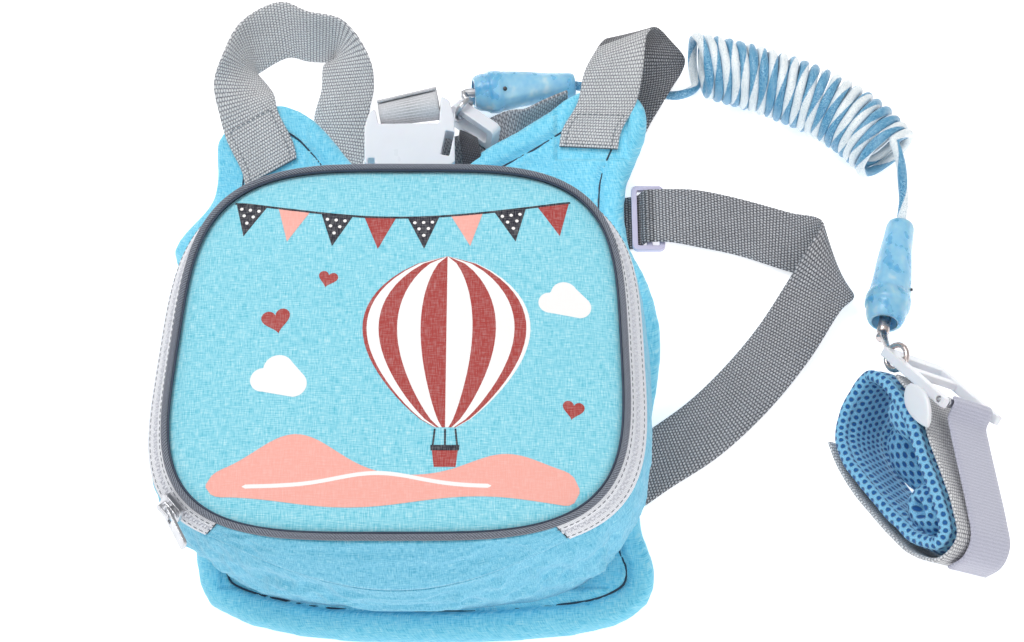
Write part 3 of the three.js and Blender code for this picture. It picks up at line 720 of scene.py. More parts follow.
def on_band(angle, share, lift):
    """On the zip's slant: share runs from the rim to the seam, lift out of it."""
    angle = np.asarray(angle, float)
    r = rim(angle)
    d = seam(angle) - r
    t = rim(angle + 0.02) - rim(angle - 0.02)
    n = unit(np.cross(d, t))
    side = n[..., 0] * (r[..., 0] - FRONT_X) + n[..., 1] * r[..., 1] + n[..., 2] * 20
    n = np.where(side[..., None] < 0, -n, n)
    share, lift = np.asarray(share, float), np.asarray(lift, float)
    return r + d * share[..., None] + n * lift[..., None]


def even_angles(curve, start, stop, count):
    """Angles that step evenly along a curve, and the curve's length."""
    a = np.linspace(start, stop, 4000)
    s = lengths(curve(a))
    return np.interp(np.linspace(0, s[-1], count), s, a), s[-1]


def gusset():
    """The bag's side: one wall that bulges and creases between the back and the zip."""
    n, m, thick, height = 460, 46, 1.5, 66
    angle, round_length = even_angles(seam, 0, 2 * math.pi, n + 1)
    angle = angle[:-1]
    foot, top = base(angle), seam(angle)
    out = unit((top - [FRONT_X, 0, 0]) * [1, 1, 0])
    rise = np.linspace(0, 1, m)
    share = rise[None, :, None]
    full = (20 - 15 * np.clip(-np.sin(angle), 0, 1) ** 3)[:, None, None] * share * (1 - share)
    wall = foot[:, None] * (1 - share) + top[:, None] * share + out[:, None] * full

    def folds(round_by, up_by, size, seed):
        at = np.broadcast_arrays(np.cos(angle)[:, None] * round_by, np.sin(angle)[:, None] * round_by,
                                 rise[None, :] * up_by)
        return wave(np.stack(at, -1), size, seed)

    low = np.clip(-np.sin(angle), 0, 1)[:, None]
    sway = 1.3 * folds(70, 60, 17, 1) * (0.8 + 1.4 * low)
    crease = np.clip(1 - np.abs(folds(90, 26, 9.5, 2)) * 2.2, 0, 1) * (0.8 + 1.2 * low)
    depth = np.clip(np.sin(math.pi * rise), 0, 1)[None, :] ** 0.6 * (sway + crease)
    wall = wall + out[:, None] * depth[..., None]
    rings = np.concatenate([wall, (wall - out[:, None] * thick)[:, ::-1]], 1)
    uv = spread(np.linspace(0, round_length, n + 1)[:-1], there_and_back(rise * height))
    return seat(loft("side_wall", rings, SIDE_CLOTH, True, uv), "bag_body")


def hinge():
    """Cloth between the zip's two ends, folded where the full front sags."""
    angle, length = even_angles(seam, ZIP_TO + 0.008, ZIP_FROM + 2 * math.pi - 0.008, 170)
    share = np.linspace(0.03, 0.95, 24)
    a, h = np.meshgrid(angle, share, indexing="ij")
    fold = wave(np.stack([a * 95, h * 30, np.zeros_like(a)], -1), 11, 5)
    soft = np.sin(np.pi * (h - 0.03) / 0.92) ** 0.7
    lift = soft * (0.9 * fold + 0.7 * np.clip(1 - 2.4 * np.abs(fold), 0, 1))
    rings = np.concatenate([on_band(a, h, 0.8 + lift), on_band(a, h, -0.8 + lift)[:, ::-1]], 1)
    uv = spread(np.linspace(0, length, len(angle)), there_and_back(share) * 34)
    return seat(loft("hinge_cloth", rings, SIDE_CLOTH, False, uv), "hinge_strip")


def rim_reach():
    """How far the rim lies from the front's middle, by direction."""
    offset = rim(round_angles(1440))[:, :2] - [FRONT_X, FRONT_Y]
    towards = np.arctan2(offset[:, 1], offset[:, 0]) % (2 * math.pi)
    order = np.argsort(towards)
    towards = towards[order]
    return (np.r_[towards - 2 * math.pi, towards, towards + 2 * math.pi],
            np.tile(np.linalg.norm(offset, axis=1)[order], 3))


RIM_REACH = rim_reach()


def lid_height(x, y):
    x, y = np.asarray(x, float) - FRONT_X, np.asarray(y, float) - FRONT_Y
    reach = np.interp(np.arctan2(y, x) % (2 * math.pi), *RIM_REACH) - PIPING_R - GAP
    share = np.clip(np.hypot(x, y) / reach, 0, 1)
    dent = 0.35 * wave(np.stack([x, y, 0 * x], -1), 42, 3) * (1 - share**6)
    edge = -1.5 * np.clip((share - 0.93) / 0.07, 0, 1) ** 2
    return RIM_Z + 1.6 + CROWN * (1 - share**2.4) + dent + edge


def lid():
    """The crowned front, in rings from its middle out to the rim and back below."""
    angle, _ = even_angles(rim, 0, 2 * math.pi, 301)
    edge = rim(angle[:-1])[:, :2] - [FRONT_X, FRONT_Y]
    reach = np.linalg.norm(edge, axis=1, keepdims=True)
    edge = edge * (reach - 1.5) / reach
    above = np.r_[0.01, np.linspace(0.04, 0.9, 26), 0.93, 0.955, 0.975, 0.99, 1.0]
    rings = []
    for shares, drop in ((above, 0), ((1.0, 0.9, 0.6, 0.3, 0.01), 2.4)):
        for share in shares:
            xy = edge * share + [FRONT_X, FRONT_Y]
            rings.append(np.c_[xy, lid_height(*xy.T) - drop])
    rings = np.array(rings)
    return seat(loft("front_cloth", rings, LID_CLOTH, False, rings[..., :2]), "front_panel")


def stitches(name, line, ups, step=2.6, length=1.9, width=0.55, height=0.4):
    p = even(np.hstack([line, np.broadcast_to(ups, line.shape)]), step)
    return repeated(name, p[:, :3], along(p[:, :3]), unit(p[:, 3:]), length, width, height, GREY_THREAD)


def zip_strip(name, angle, length, first, last, low, high, hump=0.0, count=9):
    """A strip along the zip between two shares of its slant, from low to high on it."""
    h = np.linspace(first, last, count)
    a, share = np.meshgrid(angle, h, indexing="ij")
    rise = hump * np.sin(np.pi * (share - first) / (last - first))
    rings = np.concatenate([on_band(a, share, high + rise), on_band(a, share, low + rise)[:, ::-1]], 1)
    uv = spread(np.linspace(0, length, len(angle)), there_and_back(h) * 15)
    return loft(name, rings, ZIP_CLOTH, False, uv)


def zip_fastener():
    """Tapes, their seams, and a coil of teeth on a core, along the middle of the slant."""
    def middle(a):
        return on_band(a, np.full_like(a, 0.5), 0 * a)

    angle, length = even_angles(middle, ZIP_FROM, ZIP_TO, 420)
    for side, first, last in (("inner", 0.02, 0.40), ("outer", 0.6, 0.99)):
        tape = zip_strip("zip_tape_" + side, angle, length, first, last, -0.5, 0.55, 0.35)
        seat(tape, "zip_" + side + "_tape")
    for side, at in (("inner", 0.2), ("outer", 0.8)):
        share = np.full_like(angle, at)
        line = on_band(angle, share, np.full_like(angle, 0.95))
        stitches("zip_seam_" + side, line, line - on_band(angle, share, 0 * angle), width=0.5)
    core = seat(zip_strip("zip_core", angle, length, 0.385, 0.615, -0.7, 0.35, count=5))
    count = int(length / 1.25)
    a, _ = even_angles(middle, ZIP_FROM, ZIP_TO, count)
    share = np.where(np.arange(count) % 2 == 0, 0.455, 0.545)
    points = on_band(a, share, np.full_like(a, 0.55))
    across = unit(on_band(a, share + 0.05, 0 * a) - on_band(a, share - 0.05, 0 * a))
    up = unit(points - on_band(a, share, np.full_like(a, -1.0)))
    repeated("zip_coil", points, across, up, 2.6, 1.05, 1.15, ZIP_NYLON)
    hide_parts("zip_teeth")


def piping():
    angle, _ = even_angles(rim, 0, 2 * math.pi, 421)
    edge = rim(angle[:-1])
    line = edge + [0, 0, 2.1]
    line[:, 2] += 0.15 * wave(line, 14, 8)
    seat(tube("panel_edge", line, PIPING_R, PIPING, 16, True), "panel_piping")
    inward = unit((edge - [FRONT_X, FRONT_Y, RIM_Z]) * [1, 1, 0])
    seat(tube("panel_edge_seam", edge - inward * 1.75 + [0, 0, 2.3], 0.5, NAVY_THREAD, 8, True))


gusset()
hinge()
lid()
zip_fastener()
piping()


# Padded back with its ears
OUTLINE = [
    (0, -96), (45, -94.5), (80, -89), (95, -79), (98.5, -65), (93.5, -48), (93.5, -30), (98, -2), (103, 25),
    (104, 48), (98.5, 72), (91.8, 87), (90, 101),
    (91, 118), (97.5, 134), (101, 148), (97, 158), (83, 163), (68, 161), (56, 153), (40, 143), (24, 134),
    (8, 121), (-8, 115), (-24, 119), (-34, 127), (-43, 138), (-54, 149), (-68, 155), (-86, 150),
    (-98, 138), (-97, 124), (-99, 110), (-108, 98), (-115, 86), (-110, 71), (-100, 52), (-98, 20),
    (-98, -30), (-95, -62), (-88, -80), (-50, -93)]
EAR_LIFT, LIFT_FROM = 13, 95
ROLL = 12.5  # width of the rolled rim outside its seam


def ear_lift(y):
    return EAR_LIFT * np.clip((y - LIFT_FROM) / 62, 0, 1) ** 1.5


def back_edge(inset, count=400):
    """The back's outline at evenly spaced points, moved in by inset."""
    line = smooth([(x, y, 0.0) for x, y in OUTLINE], 1200, True)[:-1]
    t = along(line, True)
    line = even(line + np.stack([-t[:, 1], t[:, 0], 0 * t[:, 0]], 1) * inset, 1)
    at = np.linspace(0, len(line), count, endpoint=False)
    return at_places(np.vstack([line, line[:1]]), at)


def inside_distance(points, line):
    """Distance in from a closed line, for points in the plane."""
    tree = KDTree(len(line))
    for i, p in enumerate(line):
        tree.insert((p[0], p[1], 0), i)
    tree.balance()
    return np.array([tree.find((x, y, 0))[2] for x, y in points])


def swell(piece, cap):
    """Blows the cloth up a little against its own stiffness, by cap at most, and keeps that shape."""
    frames = 12
    before = points_of(piece.data)
    cloth = piece.modifiers.new("cloth", "CLOTH")
    cloth.settings.quality = 4
    cloth.settings.use_pressure = True
    cloth.settings.uniform_pressure_force = 4
    cloth.settings.effector_weights.gravity = 0
    cloth.settings.tension_stiffness = cloth.settings.compression_stiffness = 40
    cloth.point_cache.frame_start, cloth.point_cache.frame_end = 1, frames
    for f in range(1, frames + 1):
        scene.frame_set(f)
    graph = bpy.context.evaluated_depsgraph_get()
    mesh = bpy.data.meshes.new_from_object(piece.evaluated_get(graph), depsgraph=graph)
    piece.modifiers.clear()
    scene.frame_set(1)
    step = points_of(mesh) - before
    far = np.linalg.norm(step, axis=1, keepdims=True)
    step *= np.minimum(1, cap * MM / np.maximum(far, 1e-9))
    mesh.vertices.foreach_set("co", (before + step).ravel())
    piece.data = mesh


def padded_back():
    """The back's own solid swollen like a pad, with a rolled rim, a seam and creases on top."""
    piece = rounded_copy("padded_back", ["back_panel"], 2.2, 4)
    swell(piece, 2.5)
    finer = piece.modifiers.new("finer", "SUBSURF")
    finer.levels = finer.render_levels = 1
    applied(piece)
    p = points_of(piece.data) / MM
    x, y, z = p.T
    inset = inside_distance(p[:, :2], back_edge(0, 1400))
    top = z > ear_lift(y) + BACK_T / 2
    groove = np.exp(-(((inset - ROLL) / 1.3) ** 2))
    puff = np.clip(1 - ((inset - ROLL / 2) / (ROLL / 2)) ** 2, 0, 1) ** 0.8
    fold = wave(p * [1, 1, 0], 13, 9)
    ridge = np.clip(1 - 2.6 * np.abs(wave(p * [1, 1, 0], 21, 10)), 0, 1)
    move = -1.8 * groove + 2.2 * puff + np.where(inset > ROLL, 0.8 * fold + 0.9 * ridge, 0.5 * fold)
    z = z + np.where(top, move, 0)
    sewn = ((np.abs(x + 76) < 20) & (y > 112)) | ((np.abs(x - 75) < 17) & (y > 128))
    z = np.where(top & sewn, np.minimum(z, BACK_T + ear_lift(y) - 0.1), z)
    covered = (np.abs(x) < 84) & (np.abs(y) < 74)
    z = np.where(top & covered, np.minimum(z, BACK_T), z)
    z = np.maximum(z, 0.02)
    piece.data.vertices.foreach_set("co", (np.stack([x, y, z], 1) * MM).ravel())
    lay_cloth(piece.data, np.stack([x + z, y + z], 1))
    seat(dressed(piece, BACK_CLOTH), "back_panel")


def back_seam():
    line = back_edge(ROLL)
    line[:, 2] = ear_lift(line[:, 1]) + BACK_T - 0.1
    seat(tube("back_seam", line, 0.42, NAVY_THREAD, 8, True))


padded_back()
back_seam()


# Print on the front: a striped balloon over round hills, under a row of pennants
def arc(cx, cy, r, start=0.0, stop=360.0, count=40):
    a = np.radians(np.linspace(start, stop, count))
    return np.stack([cx + r * np.cos(a), cy + r * np.sin(a)], 1)


def printed_piece(name, shapes, ink, layer=0):
    """Flat shapes laid on the crowned front as a thin skin of ink."""
    bm = bmesh.new()
    for shape in shapes:
        bm.faces.new([bm.verts.new((x, y, 0)) for x, y in shape])
    for axis in (Vector((1, 0, 0)), Vector((0, 1, 0))):
        for at in np.arange(-96, 96, 5.0):
            bmesh.ops.bisect_plane(bm, geom=bm.verts[:] + bm.edges[:] + bm.faces[:],
                                   plane_co=axis * at, plane_no=axis)
    bmesh.ops.remove_doubles(bm, verts=bm.verts, dist=0.01)
    bmesh.ops.triangulate(bm, faces=bm.faces[:])
    for f in bm.faces:
        if f.normal.z < 0:
            f.normal_flip()
    bm.normal_update()
    xy = np.array([v.co[:2] for v in bm.verts])
    for v, (x, y), z in zip(bm.verts, xy, lid_height(*xy.T) + 0.13 + 0.05 * layer):
        v.co = (x * MM, y * MM, z * MM)
    mesh = bpy.data.meshes.new(name)
    bm.to_mesh(mesh)
    bm.free()
    piece = placed(name, mesh)
    thick = piece.modifiers.new("thick", "SOLIDIFY")
    thick.thickness, thick.offset = 0.12 * MM, -1
    applied(piece)
    lay_cloth(piece.data, points_of(piece.data)[:, :2] / MM)
    dressed(piece, INK[ink])
    piece.data.set_sharp_from_angle(angle=math.radians(35))
    seat(piece)


def balloon_gores(cx, cy, r, gores=10):
    """The envelope cut into gores that swell from the crown to the mouth."""
    rise = np.linspace(0, 1, 24)
    half = r * np.sin(np.pi * rise ** 0.8) ** 0.75 * (1 - 0.1 * rise) + 4.2 * rise
    half[0] = 0.4
    y = cy + r - 2.25 * r * rise
    edges = [np.stack([cx + half * np.sin(np.pi * (k / gores - 0.5)), y], 1) for k in range(gores + 1)]
    return [np.vstack([left, right[::-1]]) for left, right in zip(edges, edges[1:])]


def heart(cx, cy, r, tilt):
    a = round_angles(36)
    x = 16 * np.sin(a) ** 3
    y = 13 * np.cos(a) - 5 * np.cos(2 * a) - 2 * np.cos(3 * a) - np.cos(4 * a)
    c, s = math.cos(math.radians(tilt)), math.sin(math.radians(tilt))
    return np.stack([cx + (x * c - y * s) * r / 17, cy + (x * s + y * c) * r / 17], 1)


def cloud(*puffs):
    """Three round puffs: left, right and top."""
    sweeps = ((90, 270), (270, 400), (30, 170))
    return np.vstack([arc(*puff, *sweep) for puff, sweep in zip(puffs, sweeps)])


def band_between(x0, x1, top, bottom, ends, count=72):
    """Upright slices between two lines, drawn in to a round end at both sides."""
    x = np.linspace(x0, x1, count + 1)
    reach = np.minimum(x - x0, x1 - x)
    share = np.sqrt(np.clip(1 - (1 - np.clip(reach / ends, 0, 1)) ** 2, 0.02, 1))
    middle, half = (top(x) + bottom(x)) / 2, (top(x) - bottom(x)) / 2 * share
    low, high = np.stack([x, middle - half], 1), np.stack([x, middle + half], 1)
    return [np.array([low[i], low[i + 1], high[i + 1], high[i]]) for i in range(count)]


def hump(x, height, at, width):
    return height * np.exp(-(((x - at) / width) ** 2))


def swag(x):
    """Height of the pennants' cord."""
    return 66.5 - 8 * np.sin(np.pi * (x + 74) / 134)


def print_balloon(cx=12, cy=7, r=33):
    gores = balloon_gores(cx, cy, r)
    printed_piece("print_balloon_red", gores[0::2], "brick")
    printed_piece("print_balloon_white", gores[1::2], "white")
    mouth = cy + r - 2.25 * r

    def across(top, top_half, bottom, bottom_half):
        return np.array([(cx - top_half, mouth - top), (cx - bottom_half, mouth - bottom),
                         (cx + bottom_half, mouth - bottom), (cx + top_half, mouth - top)])

    ropes = []
    for k in (-1, 0, 1):
        top, foot = cx + k * 4, cx + k * 4.8
        ropes.append(np.array([(top - 0.35, mouth - 0.6), (foot - 0.35, mouth - 8),
                               (foot + 0.35, mouth - 8), (top + 0.35, mouth - 0.6)]))
    printed_piece("print_basket", [across(8, 5.2, 16, 4.2)], "brick")
    printed_piece("print_ropes", ropes + [across(7.2, 5.6, 9.4, 5.5)], "navy", 1)


def print_ground():
    printed_piece("print_hills", band_between(
        -80, 64, lambda x: -54 + hump(x, 17, -46, 22) + hump(x, 9, 36, 20),
        lambda x: -64 + 2.2 * np.sin(x / 16), 6), "pink")
    printed_piece("print_path", band_between(
        -66, 30, lambda x: -57 + hump(x, 5, -14, 22), lambda x: -58.6 + hump(x, 5, -14, 22), 1), "white", 1)


def print_pennants():
    line = np.linspace(-76, 62, 90)
    cord_line = np.vstack([np.c_[line, swag(line) + 0.45], np.c_[line, swag(line) - 0.45][::-1]])
    printed_piece("print_pennant_cord", [cord_line], "navy", 1)
    flags = {"navy": [], "pink": [], "brick": []}
    dots = []
    for i, x in enumerate(np.linspace(-69, 55, 8)):
        slope = -8 * np.pi / 134 * math.cos(np.pi * (x + 74) / 134)
        a, b = (x - 6.4, float(swag(x - 6.4)) - 0.3), (x + 6.4, float(swag(x + 6.4)) - 0.3)
        tip = (x + 15 * slope * 0.9, swag(x) - 15)
        flags[("navy", "pink", "navy", "brick")[i % 4]].append(np.array([a, tip, b]))
        if i % 2 == 0:
            for u, v in ((-3.6, -2.6), (0, -2.6), (3.6, -2.6), (-1.9, -5.6), (1.9, -5.6), (0, -8.8)):
                dots.append(arc(x + u - slope * v * 0.9, swag(x) + v + slope * u, 0.72, count=13)[:-1])
    for ink, shapes in flags.items():
        printed_piece("print_pennants_" + ink, shapes, ink)
    printed_piece("print_dots", dots, "white", 1)


print_balloon()
print_ground()
print_pennants()
hearts = [heart(-56, 12, 6.2, 12), heart(-36, 30, 4.2, -14), heart(62, -26, 4.6, -10)]
printed_piece("print_hearts", hearts, "brick")
printed_piece("print_cloud", [cloud((-60, -14, 5), (-48, -16, 5.5), (-54, -9.5, 6))], "white")
printed_piece("print_cloud_right", [cloud((53, 20, 4.4), (65, 18.5, 4.8), (59, 24, 5.4))], "white")


# Webbing
WEB, WEB_T, EAR_TOP = 27, 1.6, BACK_T + EAR_LIFT
STRAP_LEFT = [
    (-72, 122, EAR_TOP - 8.1, 30, 6), (-73.8, 129, EAR_TOP - 6.4, 30, 7), (-81, 143, EAR_TOP - 1.9, 31, 7),
    (-83.6, 152, EAR_TOP + 1.2, 25, -2), (-86.5, 162, EAR_TOP + 2.5, 12, -26), (-88, 173, 24, 20, -58),
    (-84, 186.5, 19, -72, -47), (-69, 197, 17, -82, -44), (-58, 194, 16, -95, -62),
    (-43.5, 191, 16, -125, -70), (-39.5, 181, 15, -192, -32), (-39, 169, 10, -186, -18),
    (-41.5, 158.5, 6, -182, -12), (-42, 147, 2.2, -188, -2), (-44, 139, 1.3, -193, 0),
    (-47, 125, 1.25, -193, 0), (-66, 43, 1.25, -193, 0), (-85.5, -42, 1.25, -193, 0)]
STRAP_RIGHT = [
    (73, 133.3, EAR_TOP - 5.5, -3, 0), (74.5, 141, EAR_TOP - 3.4, -3, 0), (81.5, 153.6, EAR_TOP + 0.6, 0, 0),
    (84.7, 167.4, 28, 2, 2), (88.2, 180.5, 31, 22, 4), (93.5, 187, 28.5, 20, -8), (101, 187, 23.5, 14, -25),
    (107, 181, 18, 12, -22), (105, 175.5, 12.5, 12, -6), (100, 168, 7.6, 10, 6), (94, 160, 5.6, 4, 4),
    (88.5, 152, 4.4, -2, 2), (83.5, 142, 3, -10, 0), (80, 132, 2.8, -16, 0), (78, 125.5, 2.4, -18, 0)]
SIDE_STRAP = [
    (60, 100.5, 1.25, 90, 0), (84, 101.5, 1.25, 90, 0), (94.6, 102.9, 1.3, 90, 0), (96.1, 103.1, 1.9, 90, 0),
    (97.3, 103.2, 3.9, 90, 0), (98.2, 103.3, 5.6, 90, 0), (99.6, 103.4, 6.6, 90, 0), (103, 103.6, 6.7, 90, 0),
    (110, 103.4, 7, 90, 2), (122, 101.8, 7.2, 91, 13), (140, 98, 6.5, 92, 16), (163, 90, 7, 86, 18),
    (181, 82, 11, 106, 24, 1.12), (180, 71, 13, 137, 14, 1.1), (172.5, 61, 10, 152, 6), (158, 39, 8, 151, 6),
    (140, 17, 7, 141, 9), (121, -1, 5.5, 122, 16), (101.5, -15, 5.8, 108, 12), (91, -23, 6.6, 108, 8)]
CHEST_STRAP = [
    (-10, 131, 12.7, 92, -1, 0.8), (1, 132, 12, 94, -1, 0.74), (11.5, 137.4, 6.2, 105, 0, 0.6),
    (22, 139.8, 1.5, 114, 0, 0.86), (31, 144.6, 1.3, 116, 0), (39.5, 148.4, 8.2, 114, 46, 0.7),
    (45, 151.6, 12.4, 120, 80, 0.52), (52, 155, 14.6, 122, 86, 0.5), (58, 157.6, 15.5, 120, 87, 0.5),
    (63.5, 160.2, 15.6, 118, 88, 0.5)]
HAUL_TAB = [
    (20, 125, 14.5, 172, 6), (19.2, 131.5, 16, 168, 6), (18.2, 138.5, 14.8, 162, 6),
    (17.9, 144.3, 9.5, 155, 6)]


def strap(name, stations, node, finish=GREY_WEB, width=WEB, thick=WEB_T, steps=220):
    """Webbing through its stations: the piece, and its two edges."""
    edges = edges_of(stations, steps, width)
    return seat(strip(name, *edges, thick, finish), node), edges


def sewn_box(name, edges, first, last, lift=0.95, inset=3.0):
    """A box of stitches where webbing is sewn down."""
    left, right = edges
    c, w = (left + right) / 2, unit(right - left)
    n = unit(np.cross(along(c), w))
    n = np.where(n[:, 2:] < 0, -n, n)
    half = np.linalg.norm(right - left, axis=1) / 2 - inset
    up = n[first:last]
    rows = [c[first:last] + w[first:last] * (k * half[first:last, None]) + up * lift for k in (-1, 1)]
    stitches(name, np.vstack([rows[0], rows[1][::-1], rows[0][:1]]), up.mean(0))


_, left_edges = strap("webbing_left", STRAP_LEFT, "strap_left")
right_web, right_edges = strap("webbing_right", STRAP_RIGHT, "strap_right")
# Painted shade on the right strap's far leg, past the top of its loop.
shaded(right_web, PAINTED_SHADE_WEB, 68, 220)
side_web, _ = strap("webbing_side", SIDE_STRAP, "side_strap_right", SHADED_SIDE_WEB, steps=300)
# Painted shadow on the side strap where it dips down beside the glide.
shaded(side_web, PAINTED_SHADE_WEB, 0, 110)
strap("chest_webbing", CHEST_STRAP, "chest_strap_right", THIN_WEB)
# The haul tab's near-black weave is partly painted shade.
strap("haul_webbing", HAUL_TAB, "haul_tab", DARK_WEB, 9.5, 1.4, 60)
sewn_box("stitches_left", left_edges, 3, 30)
sewn_box("stitches_right", right_edges, 3, 26)


def chest_roll():
    """The chest strap's spare end, rolled up: its turns show at the right."""
    axis = unit((28.5, 4.3, 2.5))
    side = unit(np.array([-0.15, 1, 0]) - axis * np.dot((-0.15, 1, 0), axis))
    up = np.cross(axis, side)
    centre = np.array([-9.2, 150.8, 21.6])
    step, thick, half = 1.75, 1.0, 13.8
    a = np.linspace(0, 2 * math.pi * 3.15, 150)
    turn = there_and_back(a)
    rings, uv = [], []
    for k in np.linspace(-1, 1, 15):
        r = 7.1 + 0.8 * (k + 1) - 0.7 - a[::-1] / (2 * math.pi) * step
        r = np.r_[r + thick / 2, (r - thick / 2)[::-1]]
        rings.append(centre + axis * half * k + (r * np.cos(turn))[:, None] * side
                     + (0.9 * r * np.sin(turn))[:, None] * up)
        uv.append(np.stack([turn * 4.5, np.full_like(turn, 13 * k)], 1))
    seat(loft("chest_roll", np.array(rings), SATIN_WEB, False, np.array(uv)), "chest_strap_left")


chest_roll()


# Plastic and metal: name, solid, cell size in mm, rounds of smoothing, finish
for row in (("chest_buckle_front", "chest_buckle_female", 0.34, 3, WHITE_PLASTIC),
            ("chest_buckle_back", "chest_buckle_male", 0.34, 3, WHITE_PLASTIC),
            ("strap_glide", "triglide_right", 0.34, 3, GLIDE_PLASTIC),
            ("haul_link", "haul_ring", 0.3, 3, WHITE_PLASTIC),
            ("wrist_frame", "wrist_buckle", 0.34, 3, WHITE_PLASTIC),
            ("wrist_bar", "wrist_roller", 0.25, 2, SILVER),
            ("slider", "zip_slider", 0.2, 2, SILVER)):
    moulded(*row)
moulded("pull_tab", "zip_pull", 0.14, 2, SILVER, "pull")


def pin(name, at, direction, length, radius):
    """A riveted pin through a leash cover."""
    line = at + unit(direction) * np.linspace(-0.5, 0.5, 9)[:, None] * length
    size = radius * np.array([0.35, 0.85, 1, 1, 1, 1, 1, 0.85, 0.35])
    seat(tube(name, line, size, DARK_METAL, 20))


def hook_barrel():
    """The turned neck between the wrist hook and its cover."""
    rows = [(3, 2.7), (0, 2.7), (-3, 2.7), (-5.2, 2.7), (-5.8, 2.1), (-6.4, 2.1), (-7.4, 2.8), (-8.6, 2.8),
            (-9.2, 2.2)]
    at, radius = np.array(rows).T
    line = WRIST_END + unit(WRIST_TOP - WRIST_END) * at[:, None]
    seat(tube("hook_barrel", line, radius, ROSE_SILVER, 28))


pin("cover_pin_wrist", WRIST_END + (WRIST_TOP - WRIST_END) * 0.3, (1, 0.05, 0.25), 20.6, 1.5)
pin("cover_pin_bag", BAG_FROM + (BAG_TO - BAG_FROM) * 0.31 + (0, -2, 4.3), (0, -0.42, 0.9), 10.5, 1.5)
hook_barrel()


# Wristband, in directions of its own: A through its opening, L along it and S across it
A_AXIS = unit((-0.759, -0.05, 0.649))
L_AXIS = np.array([0.119, -0.991, 0.063])
L_AXIS = unit(L_AXIS - A_AXIS * np.dot(L_AXIS, A_AXIS))
S_AXIS = -np.cross(A_AXIS, L_AXIS)
S_AXIS = S_AXIS if S_AXIS[2] > 0 else -S_AXIS
BAND_AT = np.array([206.6, -28.4, 32.3])


def on_wrist(l, s, k):
    l, s, k = (np.asarray(v, float)[..., None] for v in (l, s, k))
    return BAND_AT + L_AXIS * l + S_AXIS * s + A_AXIS * k


PAD_LINE = [(-43, -2), (-33, -19), (-22, -26), (-10, -25.5), (4, -20), (16, -14), (28, -7), (38, 0), (45, 11),
            (41.5, 18.8), (30, 20.6), (16, 19.4), (2, 17.6), (-13, 16.4), (-26, 12), (-37, 6.4)]
PAD_T, PAD_NEAR, PAD_FAR = 6.5, 18, -14


def pad_fold(l, s, k, half_l, half_s, half_k, slant, dent):
    """A fold of the padding in the opening: a soft lump, with the hollow of its roll in front."""
    lean = np.array([1, slant]) / math.hypot(1, slant)
    rise = np.linspace(0.02, math.pi - 0.02, 44)[:, None]
    turn = round_angles(60)[None, :]
    x, y = np.sin(rise) * np.cos(turn), np.sin(rise) * np.sin(turn)
    z = np.cos(rise) + 0 * turn
    soft = 0.06 * wave(np.stack([x, y, z], -1), 0.45, 6)
    hollow = dent * np.exp(-((x / 0.34) ** 2 + ((y + 0.1) / 0.26) ** 2) ** 2) * (z > 0)
    a, b = x * half_l * (1 + soft), y * half_s * (1 + soft)
    rings = on_wrist(l + a * lean[0] - b * lean[1], s + a * lean[1] + b * lean[0], k + z * half_k - hollow)
    reach = rise * (half_l + half_s + half_k) / 3
    return joined(rings), np.stack([reach * np.cos(turn), reach * np.sin(turn)], -1)


def wrist_pad():
    """The padded band: spacer mesh over foam, rolled over at both rims, with folds in its opening."""
    line = even(smooth([(l, s, 0) for l, s in PAD_LINE], 1200, True)[:-1], 0.9, True)
    t = along(line, True)
    out = np.stack([t[:, 1], -t[:, 0], 0 * t[:, 0]], 1)
    half, wide, centre_k = PAD_T / 2, (PAD_NEAR - PAD_FAR) / 2, (PAD_NEAR + PAD_FAR) / 2
    a = round_angles(72)
    by, k = power(np.cos(a), 0.45) * half, power(np.sin(a), 0.75) * wide
    pinch = 1 - 0.28 * np.exp(-(((np.abs(k) - wide + 4.5) / 1.3) ** 2))
    rings = []
    for p, o in zip(line, out):
        soft = 0.5 * wave(np.stack([0 * a + p[0], 0 * a + p[1], k], 1), 12, 4)
        ring = p + o * ((by + soft) * pinch - half)[:, None]
        rings.append(on_wrist(ring[:, 0], ring[:, 1], centre_k + k))
    verts, faces = joined(rings, True)
    uv = spread(lengths(line), np.r_[0, np.cumsum(np.hypot(np.diff(by), np.diff(k)))]).reshape(-1, 2)
    for fold in ((-16, 8, 10, 11.5, 6.5, 7.5, 0.32, 0), (24, 6.5, 5, 12.5, 9.5, 10.5, 0.25, 6.5),
                 (-8, -5.5, -7.5, 18, 10.5, 6, 0.41, 0)):
        (more, more_faces), more_uv = pad_fold(*fold)
        faces = faces + [tuple(i + len(verts) for i in f) for f in more_faces]
        verts, uv = np.vstack([verts, more]), np.vstack([uv, more_uv.reshape(-1, 2)])
    seat(made("wrist_padding", verts, faces, MESH, uv), "wrist_pad")


def wrist_strip(name, rows, k0, k1, thick, node, finish):
    line = smooth([(l, s, 0) for l, s in rows], 200)
    low, high = (on_wrist(line[:, 0], line[:, 1], k) for k in (k0, k1))
    seat(strip(name, low, high, thick, finish), node)


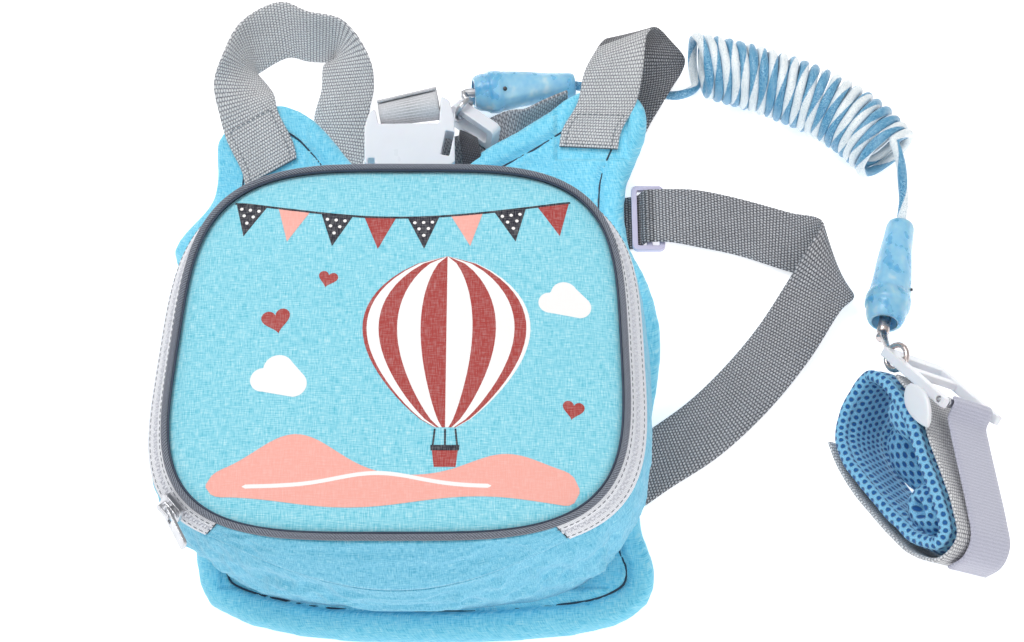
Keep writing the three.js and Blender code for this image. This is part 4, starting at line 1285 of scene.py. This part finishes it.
def frame_lug():
    """The leaf-shaped end of the wrist buckle's near arm."""
    rise = np.linspace(0, 1, 22)
    wide = 5.6 * np.sin(np.pi * np.clip(rise, 0.02, 0.985) ** 0.8) ** 0.7
    turn = round_angles(28)
    across, through = power(np.cos(turn), 0.6), power(np.sin(turn), 0.6) * 1.3
    rings = [on_wrist(-24.5 + 21 * share + 0 * turn, 19.8 + 3.6 * share + across * w,
                      20.2 + through * min(1, w / 2)) for share, w in zip(rise, wide)]
    seat(loft("wrist_frame_lug", np.array(rings), WHITE_PLASTIC))


wrist_pad()
frame_lug()
wrist_strip("wrist_band", [
    (-21, -30), (-9.5, -28), (5, -22.8), (17, -16.6), (29.5, -9.6), (40.5, -1.8), (48, 10.5), (43.5, 21.3),
    (30.5, 23), (16, 21.8), (2, 20), (-13, 18.8), (-25, 15.2), (-34, 11)],
    -10, 16, 1.6, "wrist_webbing", GREY_WEB)
wrist_strip("wrist_loop_tape", [
    (-15.6, 32.2), (-13, 32.2), (-10.9, 30), (-8.4, 27.6), (-2, 27), (16, 26.4), (32, 25.8), (43.5, 24.3),
    (49.5, 18.5), (50.6, 10.4)], -14.5, 10.5, 1.5, "wrist_velcro", VELCRO)


# Floor and light
def floor():
    f = Finish("white_floor", Emission_Color=(1, 1, 1, 1), Emission_Strength=0.55)
    fine = f.grain(f.place("object"), 3, 3, 3)
    material = f.done(f.ramp(fine, (0.3, "f4f4f6"), (0.7, "fafafb")), 0.6)
    low, high, z = -3, 3.5, -0.0003
    mesh = bpy.data.meshes.new("floor")
    mesh.from_pydata([(low, low, z), (high, low, z), (high, high, z), (low, high, z)], [], [(0, 1, 2, 3)])
    mesh.materials.append(material)
    placed("floor", mesh)


def lamp(name, at, aim, size, watts):
    light = bpy.data.lights.new(name, "AREA")
    light.size, light.energy = size, watts
    o = placed(name, light)
    o.location = at
    o.rotation_euler = (Vector(aim) - Vector(at)).to_track_quat("-Z", "Y").to_euler()


floor()
lamp("key", (-0.55, 0.6, 1.3), (0.03, 0.03, 0.03), 0.8, 10.5)
lamp("fill", (0.75, -0.9, 0.9), (0.05, 0.0, 0.03), 1.0, 6)
lamp("top", (0.05, 0.1, 1.7), (0.05, 0.05, 0), 1.6, 4)
world = bpy.data.worlds.new("studio")
world.use_nodes = True
backdrop = world.node_tree.nodes["Background"]
backdrop.inputs["Color"].default_value = (1, 1, 1, 1)
backdrop.inputs["Strength"].default_value = 0.5
scene.world = world
